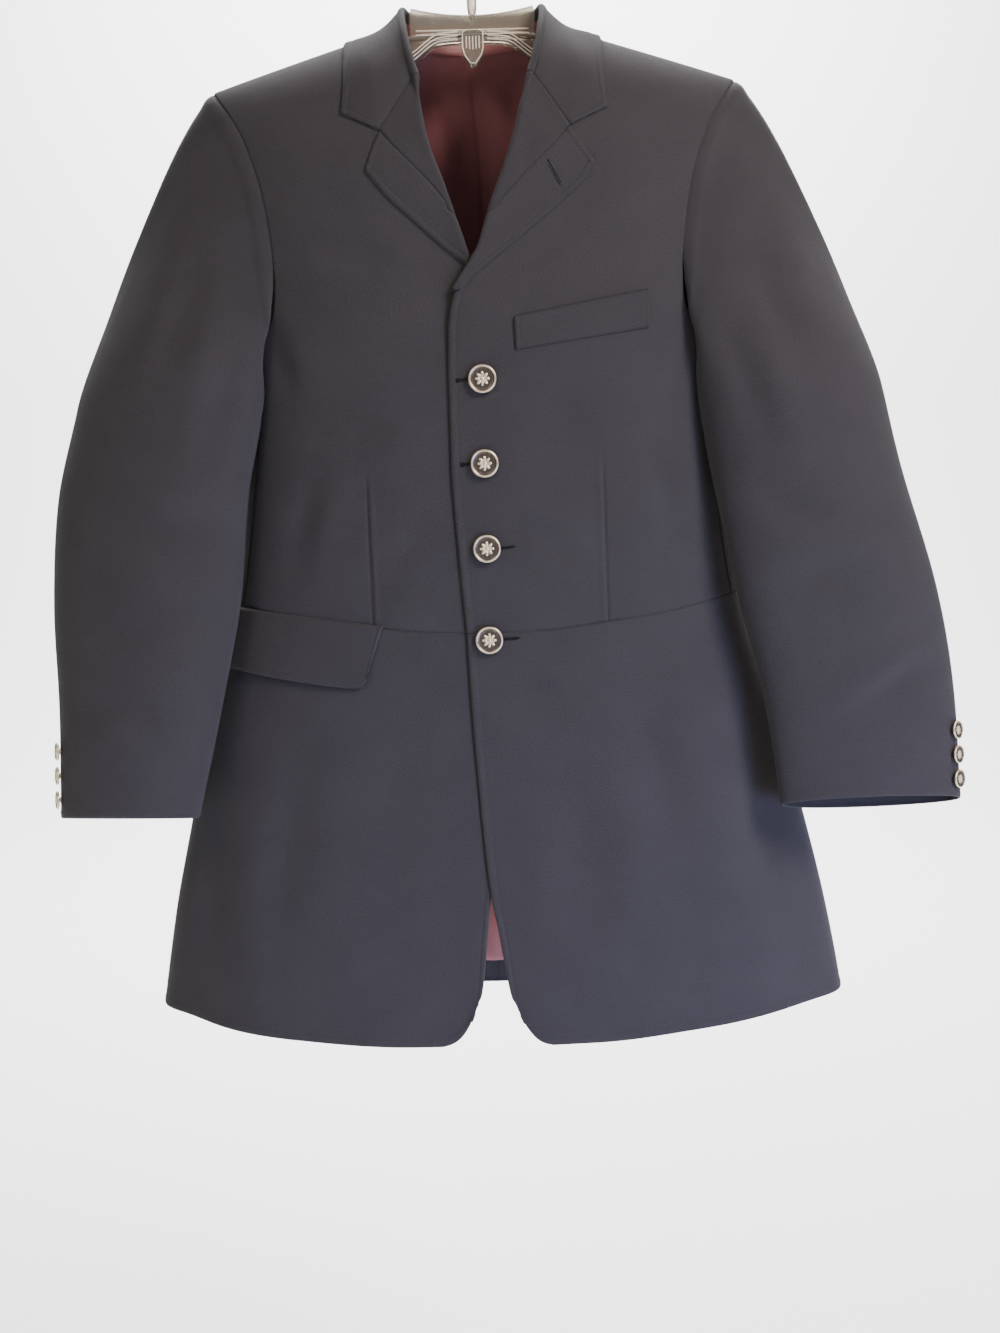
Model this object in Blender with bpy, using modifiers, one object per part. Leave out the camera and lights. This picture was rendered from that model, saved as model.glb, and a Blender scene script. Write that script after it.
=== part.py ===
"""Riding show jacket, buttoned, hung on a clear plastic hanger.

Frame: origin at the inside top of the hanger's hook, +Z up, +Y away from the
viewer of the front, +X towards the wearer's left. Lengths in the tables are
millimetres and become metres when a mesh is made.
"""
import math

import bmesh
import bpy
import numpy as np
from mathutils import Vector
from mathutils.bvhtree import BVHTree

MM = 0.001

# Driving dimensions
CLOTH = 2.0              # wool with its facing or lining fused behind it
LINING = 1.2
SEAM_GAP = 0.6           # between two panels that meet in a seam
LAY_GAP = 0.6            # between a piece and the panel that it lies on
SHOULDER_AT_NECK = (99.5, -112.5)   # x and z where the shoulder leaves the collar
SHOULDER_SLOPE = 0.30
SHOULDER_TIP_X = 213.5
SHOULDER_ROUND = 120.0   # drop over which the shoulder rounds into the chest
SHOULDER_POWER = 2.2
BUTTON_RADIUS = 11.2
BUTTON_X = 1.0
BUTTON_Z = (-388.0, -454.0, -521.5, -595.0)
CUFF_BUTTON_RADIUS = 7.6
HOOK_WIRE = 3.6
HOOK_INNER_RADIUS = 18.0


def shoulder_height(x):
    """Height of the shoulder seam, falling from the neck to the tip."""
    neck_x, neck_z = SHOULDER_AT_NECK
    return neck_z - SHOULDER_SLOPE * (abs(x) - neck_x)


NECK_POINT = (66.0, shoulder_height(66.0))
SHOULDER_TIP = (SHOULDER_TIP_X, shoulder_height(SHOULDER_TIP_X))

# Horizontal sections of the body
# z, half width, front depth, back depth, exponent
BODY_SECTIONS = (
    (-60.0, 232.0, 66.0, 58.0, 2.5),
    (-150.0, 225.0, 70.0, 60.0, 2.5),
    (-250.0, 208.0, 76.0, 65.0, 2.5),
    (-330.0, 200.0, 80.0, 64.0, 2.5),
    (-400.0, 197.0, 81.0, 60.0, 2.5),
    (-480.0, 203.0, 79.0, 54.0, 2.5),
    (-565.0, 215.0, 77.0, 52.0, 2.5),
    (-650.0, 239.0, 79.0, 58.0, 2.45),
    (-750.0, 262.0, 82.0, 66.0, 2.4),
    (-830.0, 281.0, 84.0, 71.0, 2.4),
    (-920.0, 297.0, 87.0, 75.0, 2.4),
    (-960.0, 303.0, 88.0, 76.0, 2.4),
)

# Seam lines on the body. Front lines run from the foot up, as x and z.
FRONT_EDGE_OVER = ((-17.0, -590.0), (-22.0, -521.5), (-25.5, -453.0), (-25.5, -390.0), (-24.5, -350.0),
                   (-21.0, -327.0))
ROLL_OVER = ((-21.0, -327.0), (-3.5, -298.0), (12.8, -258.8), (24.8, -228.0), (34.1, -200.5), (45.0, -158.0))
FRONT_EDGE_UNDER = ((-18.0, -590.0), (-20.0, -521.5), (-21.0, -453.0), (-21.0, -390.0), (-16.0, -352.0))
ROLL_UNDER = ((-16.0, -352.0), (-3.0, -330.0), (8.3, -298.0), (27.2, -242.0), (41.7, -198.9), (47.5, -160.0))
NECK_FRONT = ((49.0, -149.0), (55.0, -132.0), (61.0, -117.0), NECK_POINT)
SKIRT_EDGE_OVER = ((20.5, -913.0), (15.0, -898.0), (9.5, -882.0), (-2.6, -810.0), (-10.0, -726.0),
                   (-15.0, -643.0), (-17.0, -590.0))
SKIRT_CORNER_OVER = ((20.5, -913.0), (29.0, -926.0), (44.0, -933.0))
SKIRT_EDGE_UNDER = ((21.0, -913.0), (16.5, -900.0), (11.5, -882.0), (3.4, -810.0), (-9.0, -700.0),
                    (-18.0, -595.0), (-18.0, -590.0))
SKIRT_CORNER_UNDER = ((21.0, -913.0), (30.0, -926.0), (45.0, -932.0))

# Waist seam and hem by angle round the body from the centre front, degrees
# angle, z
WAIST_SEAM = ((-20.0, -591.0), (0.0, -590.0), (28.0, -581.0), (66.0, -566.0), (90.0, -561.0), (125.0, -560.0))
HEM = ((0.0, -933.5), (12.0, -932.5), (30.0, -927.0), (50.0, -920.0), (70.0, -915.5), (90.0, -914.0),
       (125.0, -920.0), (155.0, -929.0), (180.0, -932.0))
# Side seams, z then angle
SIDE_FRONT_SEAM = ((-568.0, 69.0), (-505.0, 67.6), (-430.0, 65.0), (-351.0, 62.0))
SIDE_BACK_SEAM = ((-935.0, 128.0), (-750.0, 126.0), (-560.0, 121.0), (-450.0, 118.0), (-351.0, 116.0))

# Armhole: front from the shoulder tip down, underarm by angle, back going up
ARMHOLE_FRONT = (SHOULDER_TIP, (198.0, -170.0), (186.0, -192.0), (175.0, -226.0), (168.5, -266.0),
                 (165.0, -306.0), (168.0, -334.0))
ARMHOLE_UNDER = ((62.0, -351.0), (70.0, -362.0), (80.0, -369.0), (90.0, -371.0), (102.0, -367.0),
                 (116.0, -351.0))
ARMHOLE_BACK = ((171.0, -322.0), (174.0, -285.0), (180.0, -240.0), (190.0, -198.0), (201.0, -169.0),
                SHOULDER_TIP)

# Sleeve sections below the armpit
# z, centre x, centre y, half length, half depth, turn in degrees
SLEEVE_LEFT = (
    (-400.0, 254.0, -25.0, 85.0, 46.0, 20.0),
    (-464.0, 266.0, -36.0, 83.5, 41.0, 15.0),
    (-560.0, 288.5, -52.0, 83.5, 31.0, 9.0),
    (-650.0, 304.5, -60.0, 80.0, 26.0, 6.0),
    (-739.0, 312.5, -66.0, 75.0, 22.0, 3.0),
)
SLEEVE_RIGHT = (
    (-400.0, 257.0, -26.0, 85.0, 47.0, 20.0),
    (-478.0, 274.0, -38.0, 83.0, 44.0, 15.0),
    (-560.0, 281.5, -50.0, 78.0, 39.0, 10.0),
    (-640.0, 287.5, -58.0, 69.0, 38.0, 8.0),
    (-737.0, 300.0, -64.0, 57.5, 38.0, 6.0),
)
CUFF_SLANT = 9.0          # front of the cuff above its middle, back below it
FOREARM_SEAM = 160.0      # angle round the sleeve, from the shoulder tip over the front
HINDARM_TOP = -62.0
HINDARM_CUFF = -13.0

# The sleeve hangs forward, so the underarm of the armhole runs to the back of the section
# angle round the armhole, angle round the section
SLEEVE_TWIST = ((0.0, 0.0), (90.0, 94.0), (130.0, 150.0), (158.0, 184.0), (182.0, 220.0), (205.0, 242.0),
                (240.0, 264.0), (280.0, 289.0), (360.0, 360.0))
# Columns of the top sleeve, closest at the shoulder tip
TOP_SLEEVE_TURNS = (-62.0, -42.0, -26.0, -14.0, -6.0, -2.0, 0.0, 2.0, 6.0, 14.0, 26.0, 40.0, 56.0, 74.0,
                    92.0, 108.0, 124.0, 138.0, 149.0, 160.0)

# Collar stations from the centre back to the gorge, at the neckline's named points
# fold x y z, outer edge x y z
COLLAR_STATIONS = (
    ((0.0, 45.5, -77.0), (0.0, 54.0, -121.0)),
    ((31.0, 38.0, -78.5), (44.0, 47.0, -124.0)),
    ((50.0, 18.0, -82.5), (84.0, 27.0, -125.0)),
    ((55.5, -8.0, -85.0), (99.5, -8.0, -116.0)),
    ((54.0, -37.0, -104.5), (101.0, -42.0, -143.0)),
    ((50.5, -55.0, -128.0), (102.0, -54.0, -164.0)),
    ((45.5, -66.5, -152.0), (104.0, -60.0, -180.0)),
)
NECK_BACK = ((0.0, -108.0), (34.0, -106.5), (58.0, -104.5))
NECK_SPLIT = 0.5         # share of the neckline that runs from the centre back to the shoulder
COLLAR_FOLD_RADIUS = 3.0
COLLAR_LIFT, COLLAR_EDGE_LIFT, COLLAR_BACK_LIFT = 3.0, 2.2, 1.6
GORGE_NOTCH = (74.0, -195.0)
LAPEL_TOP_Z = -162.0
LAPEL_EDGE_OVER = ((93.0, -222.5), (79.8, -240.5), (49.6, -266.5), (24.6, -286.7), (-0.5, -305.8),
                   (-14.0, -318.5))
LAPEL_EDGE_UNDER = ((86.0, -224.5), (71.0, -244.0), (48.7, -265.5), (24.7, -287.2), (10.3, -299.0),
                    (2.0, -307.0))
BAND_SEAM_OVER = ((74.0, -197.0), (42.4, -226.0), (20.5, -249.5), (13.5, -258.5))
BAND_SEAM_UNDER = ((74.0, -197.0), (43.0, -229.0), (23.5, -255.5))
BAND_SEAM_END = 0.90      # share of the seam at which the inner piece of the lapel ends
LAPEL_FOLD_GAP, BAND_FOLD_GAP = 1.6, 2.6    # from the edge of the front to the fold

# Pocket pieces, corners as x and z
WELT = ((28.0, -366.0), (134.6, -350.0), (135.0, -321.0), (27.0, -341.0))
FLAP_FOOT = ((-215.0, -617.0), (-160.0, -626.0), (-115.0, -631.5), (-103.0, -630.0), (-98.5, -622.0))
FLAP_HEAD = ((-209.0, -567.0), (-160.0, -572.5), (-115.0, -578.5), (-95.0, -581.2), (-85.0, -582.5))

# Hanger
# x, underside z, thickness front to back
HANGER_ARM = (
    (0.0, -111.0, 12.0),
    (27.0, -113.0, 12.0),
    (49.0, -127.0, 12.0),
    (90.0, -150.0, 13.0),
    (140.0, -166.0, 15.0),
    (180.0, -180.0, 17.0),
    (194.0, -185.0, 18.0),
)
HANGER_BEAM_TOP = -102.0
# z, half width, half thickness
HANGER_PLATE = ((-112.0, 46.0, 2.2), (-96.0, 40.0, 2.2), (-84.0, 24.0, 2.2), (-74.0, 12.0, 4.0),
                (-66.0, 8.0, 5.0))
HANGER_PLATE_TOP = HANGER_PLATE[-1][0]
HANGER_BOSS = (9.0, -129.0)      # half width and foot z


# Smooth lines through a few points

def smooth(table, key):
    """Values of a table's other columns at key, on a curve without overshoot."""
    rows = np.array(table, float)
    if rows[0, 0] > rows[-1, 0]:
        rows = rows[::-1]
    keys, vals = rows[:, 0], rows[:, 1:]
    step = np.diff(keys)
    rate = np.diff(vals, axis=0) / step[:, None]
    slope = np.zeros_like(vals)
    slope[0], slope[-1] = rate[0], rate[-1]
    for i in range(1, len(keys) - 1):
        same = rate[i - 1] * rate[i] > 0
        mean = 2.0 * rate[i - 1] * rate[i] / np.where(same, rate[i - 1] + rate[i], 1.0)
        slope[i] = np.where(same, mean, 0.0)
    key = min(max(key, keys[0]), keys[-1])
    i = int(min(np.searchsorted(keys, key, side="right") - 1, len(keys) - 2))
    t = (key - keys[i]) / step[i]
    a, b = (1 + 2 * t) * (1 - t) ** 2, t * (1 - t) ** 2
    c, d = t * t * (3 - 2 * t), t * t * (t - 1)
    return a * vals[i] + b * step[i] * slope[i] + c * vals[i + 1] + d * step[i] * slope[i + 1]


def spline(points, share):
    """Point at a share of the way along a curve through the points."""
    pts = np.array(points, float)
    run = np.concatenate(([0.0], np.cumsum(np.linalg.norm(np.diff(pts, axis=0), axis=1))))
    at = min(max(share, 0.0), 1.0) * run[-1]
    i = int(min(max(np.searchsorted(run, at, side="right") - 1, 0), len(pts) - 2))
    t = (at - run[i]) / (run[i + 1] - run[i])
    p0 = pts[i - 1] if i > 0 else 2 * pts[i] - pts[i + 1]
    p3 = pts[i + 2] if i + 2 < len(pts) else 2 * pts[i + 1] - pts[i]
    p1, p2 = pts[i], pts[i + 1]
    return 0.5 * (2 * p1 + (p2 - p0) * t + (2 * p0 - 5 * p1 + 4 * p2 - p3) * t ** 2
                  + (3 * p1 - 3 * p2 + p3 - p0) * t ** 3)


def ease(value, low, high):
    t = min(max((value - low) / (high - low), 0.0), 1.0)
    return t * t * (3 - 2 * t)


# Body surface

def shoulder_factor(x, z):
    """Share of the full depth, from none on the shoulder seam to all below it."""
    share = min(max((shoulder_height(x) - z) / SHOULDER_ROUND, 0.0), 1.0)
    return (1.0 - (1.0 - share) ** SHOULDER_POWER) ** (1.0 / SHOULDER_POWER)


def drape(angle, z, side):
    """Soft flutes of the hanging skirt and a shallow hollow under each shoulder, outward in mm."""
    low = ease(-z, 600.0, 900.0)
    flute = (3.4 * math.sin(math.radians(5.2 * angle + 20.0 * side))
             + 2.2 * math.sin(math.radians(8.7 * angle + 75.0)))
    hollow = -3.0 * math.exp(-((angle - 48.0) / 14.0) ** 2 - ((z + 265.0) / 60.0) ** 2)
    slim = -8.0 * low * ease(angle, 40.0, 90.0) * (1.0 - ease(angle, 110.0, 150.0)) if side < 0 else 0.0
    return low * flute * ease(angle, 4.0, 25.0) * ease(180.0 - angle, 2.0, 25.0) + hollow + slim


def body_point(angle, z, side=1, layer=0.0):
    """Outer skin at an angle from the centre front (degrees), pushed out by layer."""
    half, front, back, power = smooth(BODY_SECTIONS, z)
    s, c = math.sin(math.radians(angle)), math.cos(math.radians(angle))
    wave = drape(abs(angle), z, side)
    x = math.copysign(abs(s) ** (2.0 / power), s) * half
    depth = (-front if c > 0 else back) * abs(c) ** (2.0 / power)
    y = depth * shoulder_factor(x, z)
    out = wave + layer
    x += out * math.copysign(abs(s) ** 1.5, s)
    y += -out * math.copysign(abs(c) ** 0.8, c)
    return np.array((x * side, y, z))


def body_normal(angle, z, side=1, layer=0.0):
    """Outward normal of the skin, also on the shoulder seam."""
    turn = body_point(angle + 0.4, z, side, layer) - body_point(angle - 0.4, z, side, layer)
    rise = body_point(angle, z, side, layer) - body_point(angle, z - 0.05, side, layer)
    normal = np.cross(turn, rise) * side
    return normal / np.linalg.norm(normal)


def angle_of(x, z, back=False):
    half, _, _, power = smooth(BODY_SECTIONS, z)
    ratio = min(abs(x) / half, 1.0)
    angle = math.degrees(math.asin(ratio ** (power / 2.0)))
    angle = math.copysign(angle, x)
    return 180.0 - angle if back else angle


def overlap_layer(x, z, over):
    """The left front stands a little proud where it laps over, the right one sinks under it."""
    lap_bulge = math.exp(-((z + 305.0) / 45.0) ** 2)
    if over:
        return (1.3 + 1.3 * lap_bulge) * (1.0 - ease(x, 25.0, 75.0))
    return -(1.4 + 2.6 * lap_bulge) * (1.0 - ease(x, 27.0, 80.0))


def lap_at(angle, z, side):
    """Lap of the fronts at an angle round the body."""
    half, _, _, power = smooth(BODY_SECTIONS, z)
    s = math.sin(math.radians(angle))
    x = math.copysign(abs(s) ** (2.0 / power), s) * half
    return overlap_layer(x, z, side > 0) if angle < 90.0 else 0.0


def front_point(x, z, side, layer=0.0):
    """Outer skin of a front at x (towards its own side) and z, with the lap."""
    return body_point(angle_of(x, z), z, side, layer + overlap_layer(x, z, side > 0))


# Panels: a patch between four seam lines in angle and height

def coons(foot, head, inner, outer, u, v):
    """Blend of four boundary lines, inner and outer rising from foot to head."""
    a = (1 - v) * foot(u) + v * head(u)
    b = (1 - u) * inner(v) + u * outer(v)
    corner = ((1 - u) * (1 - v) * foot(0.0) + u * (1 - v) * foot(1.0)
              + (1 - u) * v * head(0.0) + u * v * head(1.0))
    return a + b - corner


# Drop of each row below the shoulder seam, closer where the shoulder rounds
SHOULDER_ROWS = (0.0, 1.0, 4.0, 9.5, 18.0, 30.0, 45.0, 64.0, 86.0, 112.0, 142.0, 170.0, 198.0, 226.0,
                 255.0, 287.5, 337.5, 387.5, 437.5, 487.5, 537.5, 610.1, 682.7, 755.3, 828.0)
BODICE_ARMPIT_ROW, BODICE_ROWS = 15, 19
BACK_ARMPIT_ROW, BACK_WAIST_ROW, BACK_ROWS = 16, 20, 24
SIDE_ROWS, SKIRT_ROWS = 4, 8       # whole multiples of the rows beside them


def head_rows(count):
    """Shares from foot to head for a panel that ends at the shoulder."""
    drops = SHOULDER_ROWS[:count + 1]
    return [1.0 - drop / drops[-1] for drop in reversed(drops)]


def row_share(row, count):
    """Share at which a row counted from the shoulder lies, for a seam that ends on it."""
    return 1.0 - SHOULDER_ROWS[row] / SHOULDER_ROWS[count]


def even_rows(count):
    return [j / count for j in range(count + 1)]


def panel_grid(foot, head, inner, outer, columns, shares, side):
    """Skin points and normals on columns and rows between four seam lines."""
    grid, normals = [], []
    for v in shares:
        spots = [coons(foot, head, inner, outer, i / columns, v) for i in range(columns + 1)]
        layers = [lap_at(a, z, side) for a, z in spots]
        grid.append([body_point(a, z, side, layer) for (a, z), layer in zip(spots, layers)])
        normals.append([body_normal(a, z, side, layer) for (a, z), layer in zip(spots, layers)])
    return np.array(grid), np.array(normals)


def inset(grid, gap=SEAM_GAP / 2, sides="ablr"):
    """Pulls the edge points in, so that neighbours across a seam stay apart."""
    out = grid.copy()
    edges = {"a": (0, 1, 0), "b": (-1, -2, 0), "l": (0, 1, 1), "r": (-1, -2, 1)}
    for name in sides:
        edge, near, axis = edges[name]
        take = (lambda i: grid[i]) if axis == 0 else (lambda i: grid[:, i])
        line, following = take(edge), take(near)
        along = np.gradient(line, axis=0)
        along /= np.maximum(np.linalg.norm(along, axis=1, keepdims=True), 1e-9)
        inward = following - line
        inward -= np.sum(inward * along, axis=1, keepdims=True) * along
        inward /= np.maximum(np.linalg.norm(inward, axis=1, keepdims=True), 1e-9)
        if axis == 0:
            out[edge] += inward * gap
        else:
            out[:, edge] += inward * gap
    return out


# Objects and materials

for stale in list(bpy.data.objects):
    bpy.data.objects.remove(stale, do_unlink=True)

jacket = bpy.data.collections.new("riding_show_jacket")
cutters = bpy.data.collections.new("cutters")
bpy.context.scene.collection.children.link(jacket)
bpy.context.scene.collection.children.link(cutters)


def make_material(name, colour, roughness, metallic=0.0, alpha=1.0):
    mat = bpy.data.materials.new(name)
    mat.use_nodes = True
    shader = mat.node_tree.nodes["Principled BSDF"]
    shader.inputs["Base Color"].default_value = (*colour, 1.0)
    shader.inputs["Roughness"].default_value = roughness
    shader.inputs["Metallic"].default_value = metallic
    shader.inputs["Alpha"].default_value = alpha
    return mat


wool = make_material("black_wool_twill", (0.035, 0.033, 0.036), 0.85)
satin = make_material("burgundy_lining", (0.16, 0.035, 0.05), 0.45)
button_metal = make_material("silver_metal", (0.75, 0.70, 0.62), 0.28, 1.0)
clear = make_material("clear_plastic", (0.62, 0.60, 0.56), 0.25, 0.0, 0.45)
steel = make_material("plated_wire", (0.62, 0.62, 0.62), 0.25, 1.0)


def mesh_object(name, bm, mat, collection=jacket):
    mesh = bpy.data.meshes.new(name)
    bm.to_mesh(mesh)
    bm.free()
    mesh.materials.append(mat)
    obj = bpy.data.objects.new(name, mesh)
    collection.objects.link(obj)
    return obj


def sheet(name, grids, mat, thickness=CLOTH, offset=-1.0, outward=None):
    """Cloth piece: grids of skin points joined at shared edges, with Solidify."""
    bm = bmesh.new()
    for grid in grids:
        verts = [[bm.verts.new(Vector(p) * MM) for p in row] for row in grid]
        for j in range(len(verts) - 1):
            for i in range(len(verts[0]) - 1):
                bm.faces.new((verts[j][i], verts[j][i + 1], verts[j + 1][i + 1], verts[j + 1][i]))
    bmesh.ops.remove_doubles(bm, verts=bm.verts, dist=0.00005)
    bmesh.ops.recalc_face_normals(bm, faces=bm.faces)
    bm.normal_update()
    face = bm.faces[0] if outward is None else min(
        bm.faces, key=lambda f: (f.calc_center_median() - Vector(outward[0]) * MM).length)
    facing = Vector(outward[1]) if outward else Vector((0, -1, 0))
    if face.normal.dot(facing) < 0:
        bmesh.ops.reverse_faces(bm, faces=bm.faces)
    for f in bm.faces:
        f.smooth = True
    obj = mesh_object(name, bm, mat)
    solid = obj.modifiers.new("cloth thickness", "SOLIDIFY")
    solid.thickness = thickness * MM
    solid.offset = offset
    solid.use_even_offset = False
    return obj


def wall(name, outer, inner, mat, turned=0):
    """Cloth piece between an outer and an inner skin of the same grid.

    Both skins split each cell along one diagonal, the other one in the first
    turned columns, so that pieces laid on each other have parallel faces.
    """
    bm = bmesh.new()
    skins_of = [[[bm.verts.new(Vector(p) * MM) for p in row] for row in grid] for grid in (outer, inner)]
    rows, columns = len(outer) - 1, len(outer[0]) - 1
    for verts in skins_of:
        for j in range(rows):
            for i in range(columns):
                a, b, c, d = verts[j][i], verts[j][i + 1], verts[j + 1][i + 1], verts[j + 1][i]
                for corners in (((a, b, d), (b, c, d)) if i < turned else ((a, b, c), (a, c, d))):
                    bm.faces.new(corners).smooth = True
    rim = ([(0, i) for i in range(columns)] + [(j, columns) for j in range(rows)]
           + [(rows, i) for i in range(columns, 0, -1)] + [(j, 0) for j in range(rows, 0, -1)])
    a, b = skins_of
    for (j, i), (n, m) in zip(rim, rim[1:] + rim[:1]):
        bm.faces.new((a[j][i], a[n][m], b[n][m], b[j][i])).smooth = False
    bmesh.ops.recalc_face_normals(bm, faces=bm.faces)
    return mesh_object(name, bm, mat)


# Lines of the panels, as angle and height

def line_from_front(points):
    return [np.array((angle_of(x, z), z)) for x, z in points]


def share_line(points):
    pts = [np.array(p, float) for p in points]
    return lambda t: spline(pts, t)


def stacked(first, second, split):
    """Two lines, one after the other, sharing a parameter."""
    return lambda t: first(t / split) if t < split else second((t - split) / (1.0 - split))


def ring_line(table, start, end):
    """Line that follows a table of angle and z between two angles."""
    return lambda t: np.array((start + (end - start) * t, float(smooth(table, start + (end - start) * t)[0])))


def seam_line(table, low, high):
    """Line that follows a table of z and angle between two heights."""
    return lambda t: np.array((float(smooth(table, low + (high - low) * t)[0]), low + (high - low) * t))


def shoulder_line(back=False):
    def at(t):
        x = NECK_FRONT[-1][0] + (SHOULDER_TIP_X - NECK_FRONT[-1][0]) * t
        z = shoulder_height(x)
        return np.array((angle_of(x, z, back), z))
    return at


armhole_front = share_line([(angle_of(x, z), z) for x, z in ARMHOLE_FRONT] + [ARMHOLE_UNDER[0]])
armhole_under = share_line(ARMHOLE_UNDER)
armhole_back = share_line([ARMHOLE_UNDER[-1]] + [(angle_of(x, z, True), z) for x, z in ARMHOLE_BACK])

skins, faces_in = {}, {}


def opening_table(side):
    """Front edge, roll line and neckline of a front as z and angle."""
    edge, roll = (FRONT_EDGE_OVER, ROLL_OVER) if side > 0 else (FRONT_EDGE_UNDER, ROLL_UNDER)
    return [(z, angle_of(x, z)) for x, z in edge + roll[1:] + NECK_FRONT]


def bodice(side):
    """Front panel from the waist seam to the shoulder, cut along the roll line."""
    table = opening_table(side)
    opening = seam_line(table, table[0][0], table[-1][0])
    start = table[0][1]
    side_seam = seam_line(SIDE_FRONT_SEAM, float(smooth(WAIST_SEAM, 69.0)[0]), -351.0)
    armpit = row_share(BODICE_ARMPIT_ROW, BODICE_ROWS)
    side_edge = stacked(side_seam, lambda t: armhole_front(1.0 - t), armpit)
    return panel_grid(ring_line(WAIST_SEAM, start, 69.0), shoulder_line(), opening, side_edge,
                      11, head_rows(BODICE_ROWS), side)


def skirt(side):
    """Front skirt from the waist seam to the hem, round to the back seam."""
    over = side > 0
    edge = SKIRT_EDGE_OVER if over else SKIRT_EDGE_UNDER
    corner = SKIRT_CORNER_OVER if over else SKIRT_CORNER_UNDER
    front = share_line(line_from_front(edge))
    corner_end = angle_of(*corner[-1])
    hem_back = float(smooth(SIDE_BACK_SEAM, -921.0)[0])
    hem = stacked(share_line(line_from_front(corner)), ring_line(HEM, corner_end, hem_back), 0.12)
    top_back = float(smooth(SIDE_BACK_SEAM, -560.0)[0])
    waist = ring_line(WAIST_SEAM, angle_of(*edge[-1]), top_back)
    back_seam = seam_line(SIDE_BACK_SEAM, float(smooth(HEM, hem_back)[0]),
                          float(smooth(WAIST_SEAM, top_back)[0]))
    return panel_grid(hem, waist, front, back_seam, 17, even_rows(SKIRT_ROWS), side)


def side_panel(side):
    waist_z = float(smooth(WAIST_SEAM, 69.0)[0])
    back_z = float(smooth(WAIST_SEAM, 121.0)[0])
    return panel_grid(ring_line(WAIST_SEAM, 69.0, 121.0), armhole_under,
                      seam_line(SIDE_FRONT_SEAM, waist_z, -351.0), seam_line(SIDE_BACK_SEAM, back_z, -351.0),
                      7, even_rows(SIDE_ROWS), side)


BACK_COLUMNS, BACK_NECK_COLUMNS = 10, 4


def back(side):
    """Back panel from hem to shoulder, with the centre seam at 180 degrees."""
    hem_side = float(smooth(SIDE_BACK_SEAM, -921.0)[0])
    waist_z = float(smooth(WAIST_SEAM, 121.0)[0])
    skirt_seam = seam_line(SIDE_BACK_SEAM, float(smooth(HEM, hem_side)[0]), waist_z)
    side_seam = seam_line(SIDE_BACK_SEAM, waist_z, -351.0)
    armpit = row_share(BACK_ARMPIT_ROW, BACK_ROWS)
    below = stacked(skirt_seam, side_seam, row_share(BACK_WAIST_ROW, BACK_ROWS) / armpit)
    outer = stacked(below, armhole_back, armpit)
    neck = [(angle_of(x, z, True), z) for x, z in NECK_BACK + (NECK_POINT,)]
    centre = seam_line(((-940.0, 180.0), (-108.0, 180.0)), -932.0, -108.0)
    head = stacked(share_line(neck), shoulder_line(True), BACK_NECK_COLUMNS / BACK_COLUMNS)
    return panel_grid(ring_line(HEM, 180.0, hem_side), head, centre, outer,
                      BACK_COLUMNS, head_rows(BACK_ROWS), side)


PANELS = (("bodice_", bodice), ("skirt_", skirt), ("side_panel_", side_panel), ("back_", back))
for side, word in ((1, "left"), (-1, "right")):
    for name, cut in PANELS:
        skin, normals = cut(side)
        skins[name + word] = skin
        faces_in[name + word] = normals
        outer = inset(skin)
        wall(name + word, outer, outer - normals * CLOTH, wool)


def skin_tree(names):
    """Search tree over the outer skins of some panels, in millimetres."""
    points, faces = [], []
    for name in names:
        grid = skins[name]
        base, wide = len(points), grid.shape[1]
        points += [Vector(p) for row in grid for p in row]
        for j in range(grid.shape[0] - 1):
            for i in range(wide - 1):
                k = base + j * wide + i
                faces += [(k, k + 1, k + wide + 1), (k, k + wide + 1, k + wide)]
    return BVHTree.FromPolygons(points, faces)


over_tree = skin_tree(("bodice_left", "back_left", "back_right"))
under_tree = skin_tree(("bodice_right", "back_left", "back_right"))


def lift(point, height, side, snap=False):
    """Point at least, or with snap exactly, a height above the panels' skin."""
    tree = over_tree if side > 0 else under_tree
    near, _, _, _ = tree.find_nearest(Vector(point))
    inner = Vector((near.x * 0.55, near.y * 0.25, min(near.z, shoulder_height(near.x)) - 70.0))
    _, normal, _, _ = tree.find_nearest(Vector(point))
    if normal.dot(near - inner) < 0:
        normal = -normal
    away = (Vector(point) - near).dot(normal)
    if snap or away < height:
        return np.array(near + normal * height)
    return np.array(point)


# Lapels

CURL_STEPS = 4


def curl(foot, normal, across, low, high):
    """Half circle from a height low to a height high over a fold, opening side first."""
    middle, radius = (low + high) / 2.0, (high - low) / 2.0
    centre = foot + normal * middle
    points = []
    for k in range(CURL_STEPS + 1):
        turn = math.pi * k / CURL_STEPS
        points.append(centre + radius * (-normal * math.cos(turn) + across * math.sin(turn)))
    return points


def fold_frame(z, side):
    """Skin point, normal and direction towards the opening on a roll line at a height."""
    table = opening_table(side)

    def at(height):
        angle = float(smooth(table, height)[0])
        layer = lap_at(angle, height, side)
        return body_point(angle, height, side, layer), body_normal(angle, height, side, layer)
    foot, normal = at(z)
    along = at(z + 2.0)[0] - at(z - 2.0)[0]
    along /= np.linalg.norm(along)
    across = np.cross(normal, along)
    across /= np.linalg.norm(across)
    if across[0] * side > 0:
        across = -across
    return foot, normal, across


def roll_spot(z, side):
    """Roll line at a height, as x towards its own side and z."""
    angle = float(smooth(opening_table(side), z)[0])
    half, _, _, power = smooth(BODY_SECTIONS, z)
    s = math.sin(math.radians(angle))
    return np.array((math.copysign(abs(s) ** (2.0 / power), s) * half, z))


FOLD_LIFT, EDGE_LIFT = 3.9, CLOTH / 2 + LAY_GAP + 0.15


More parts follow.
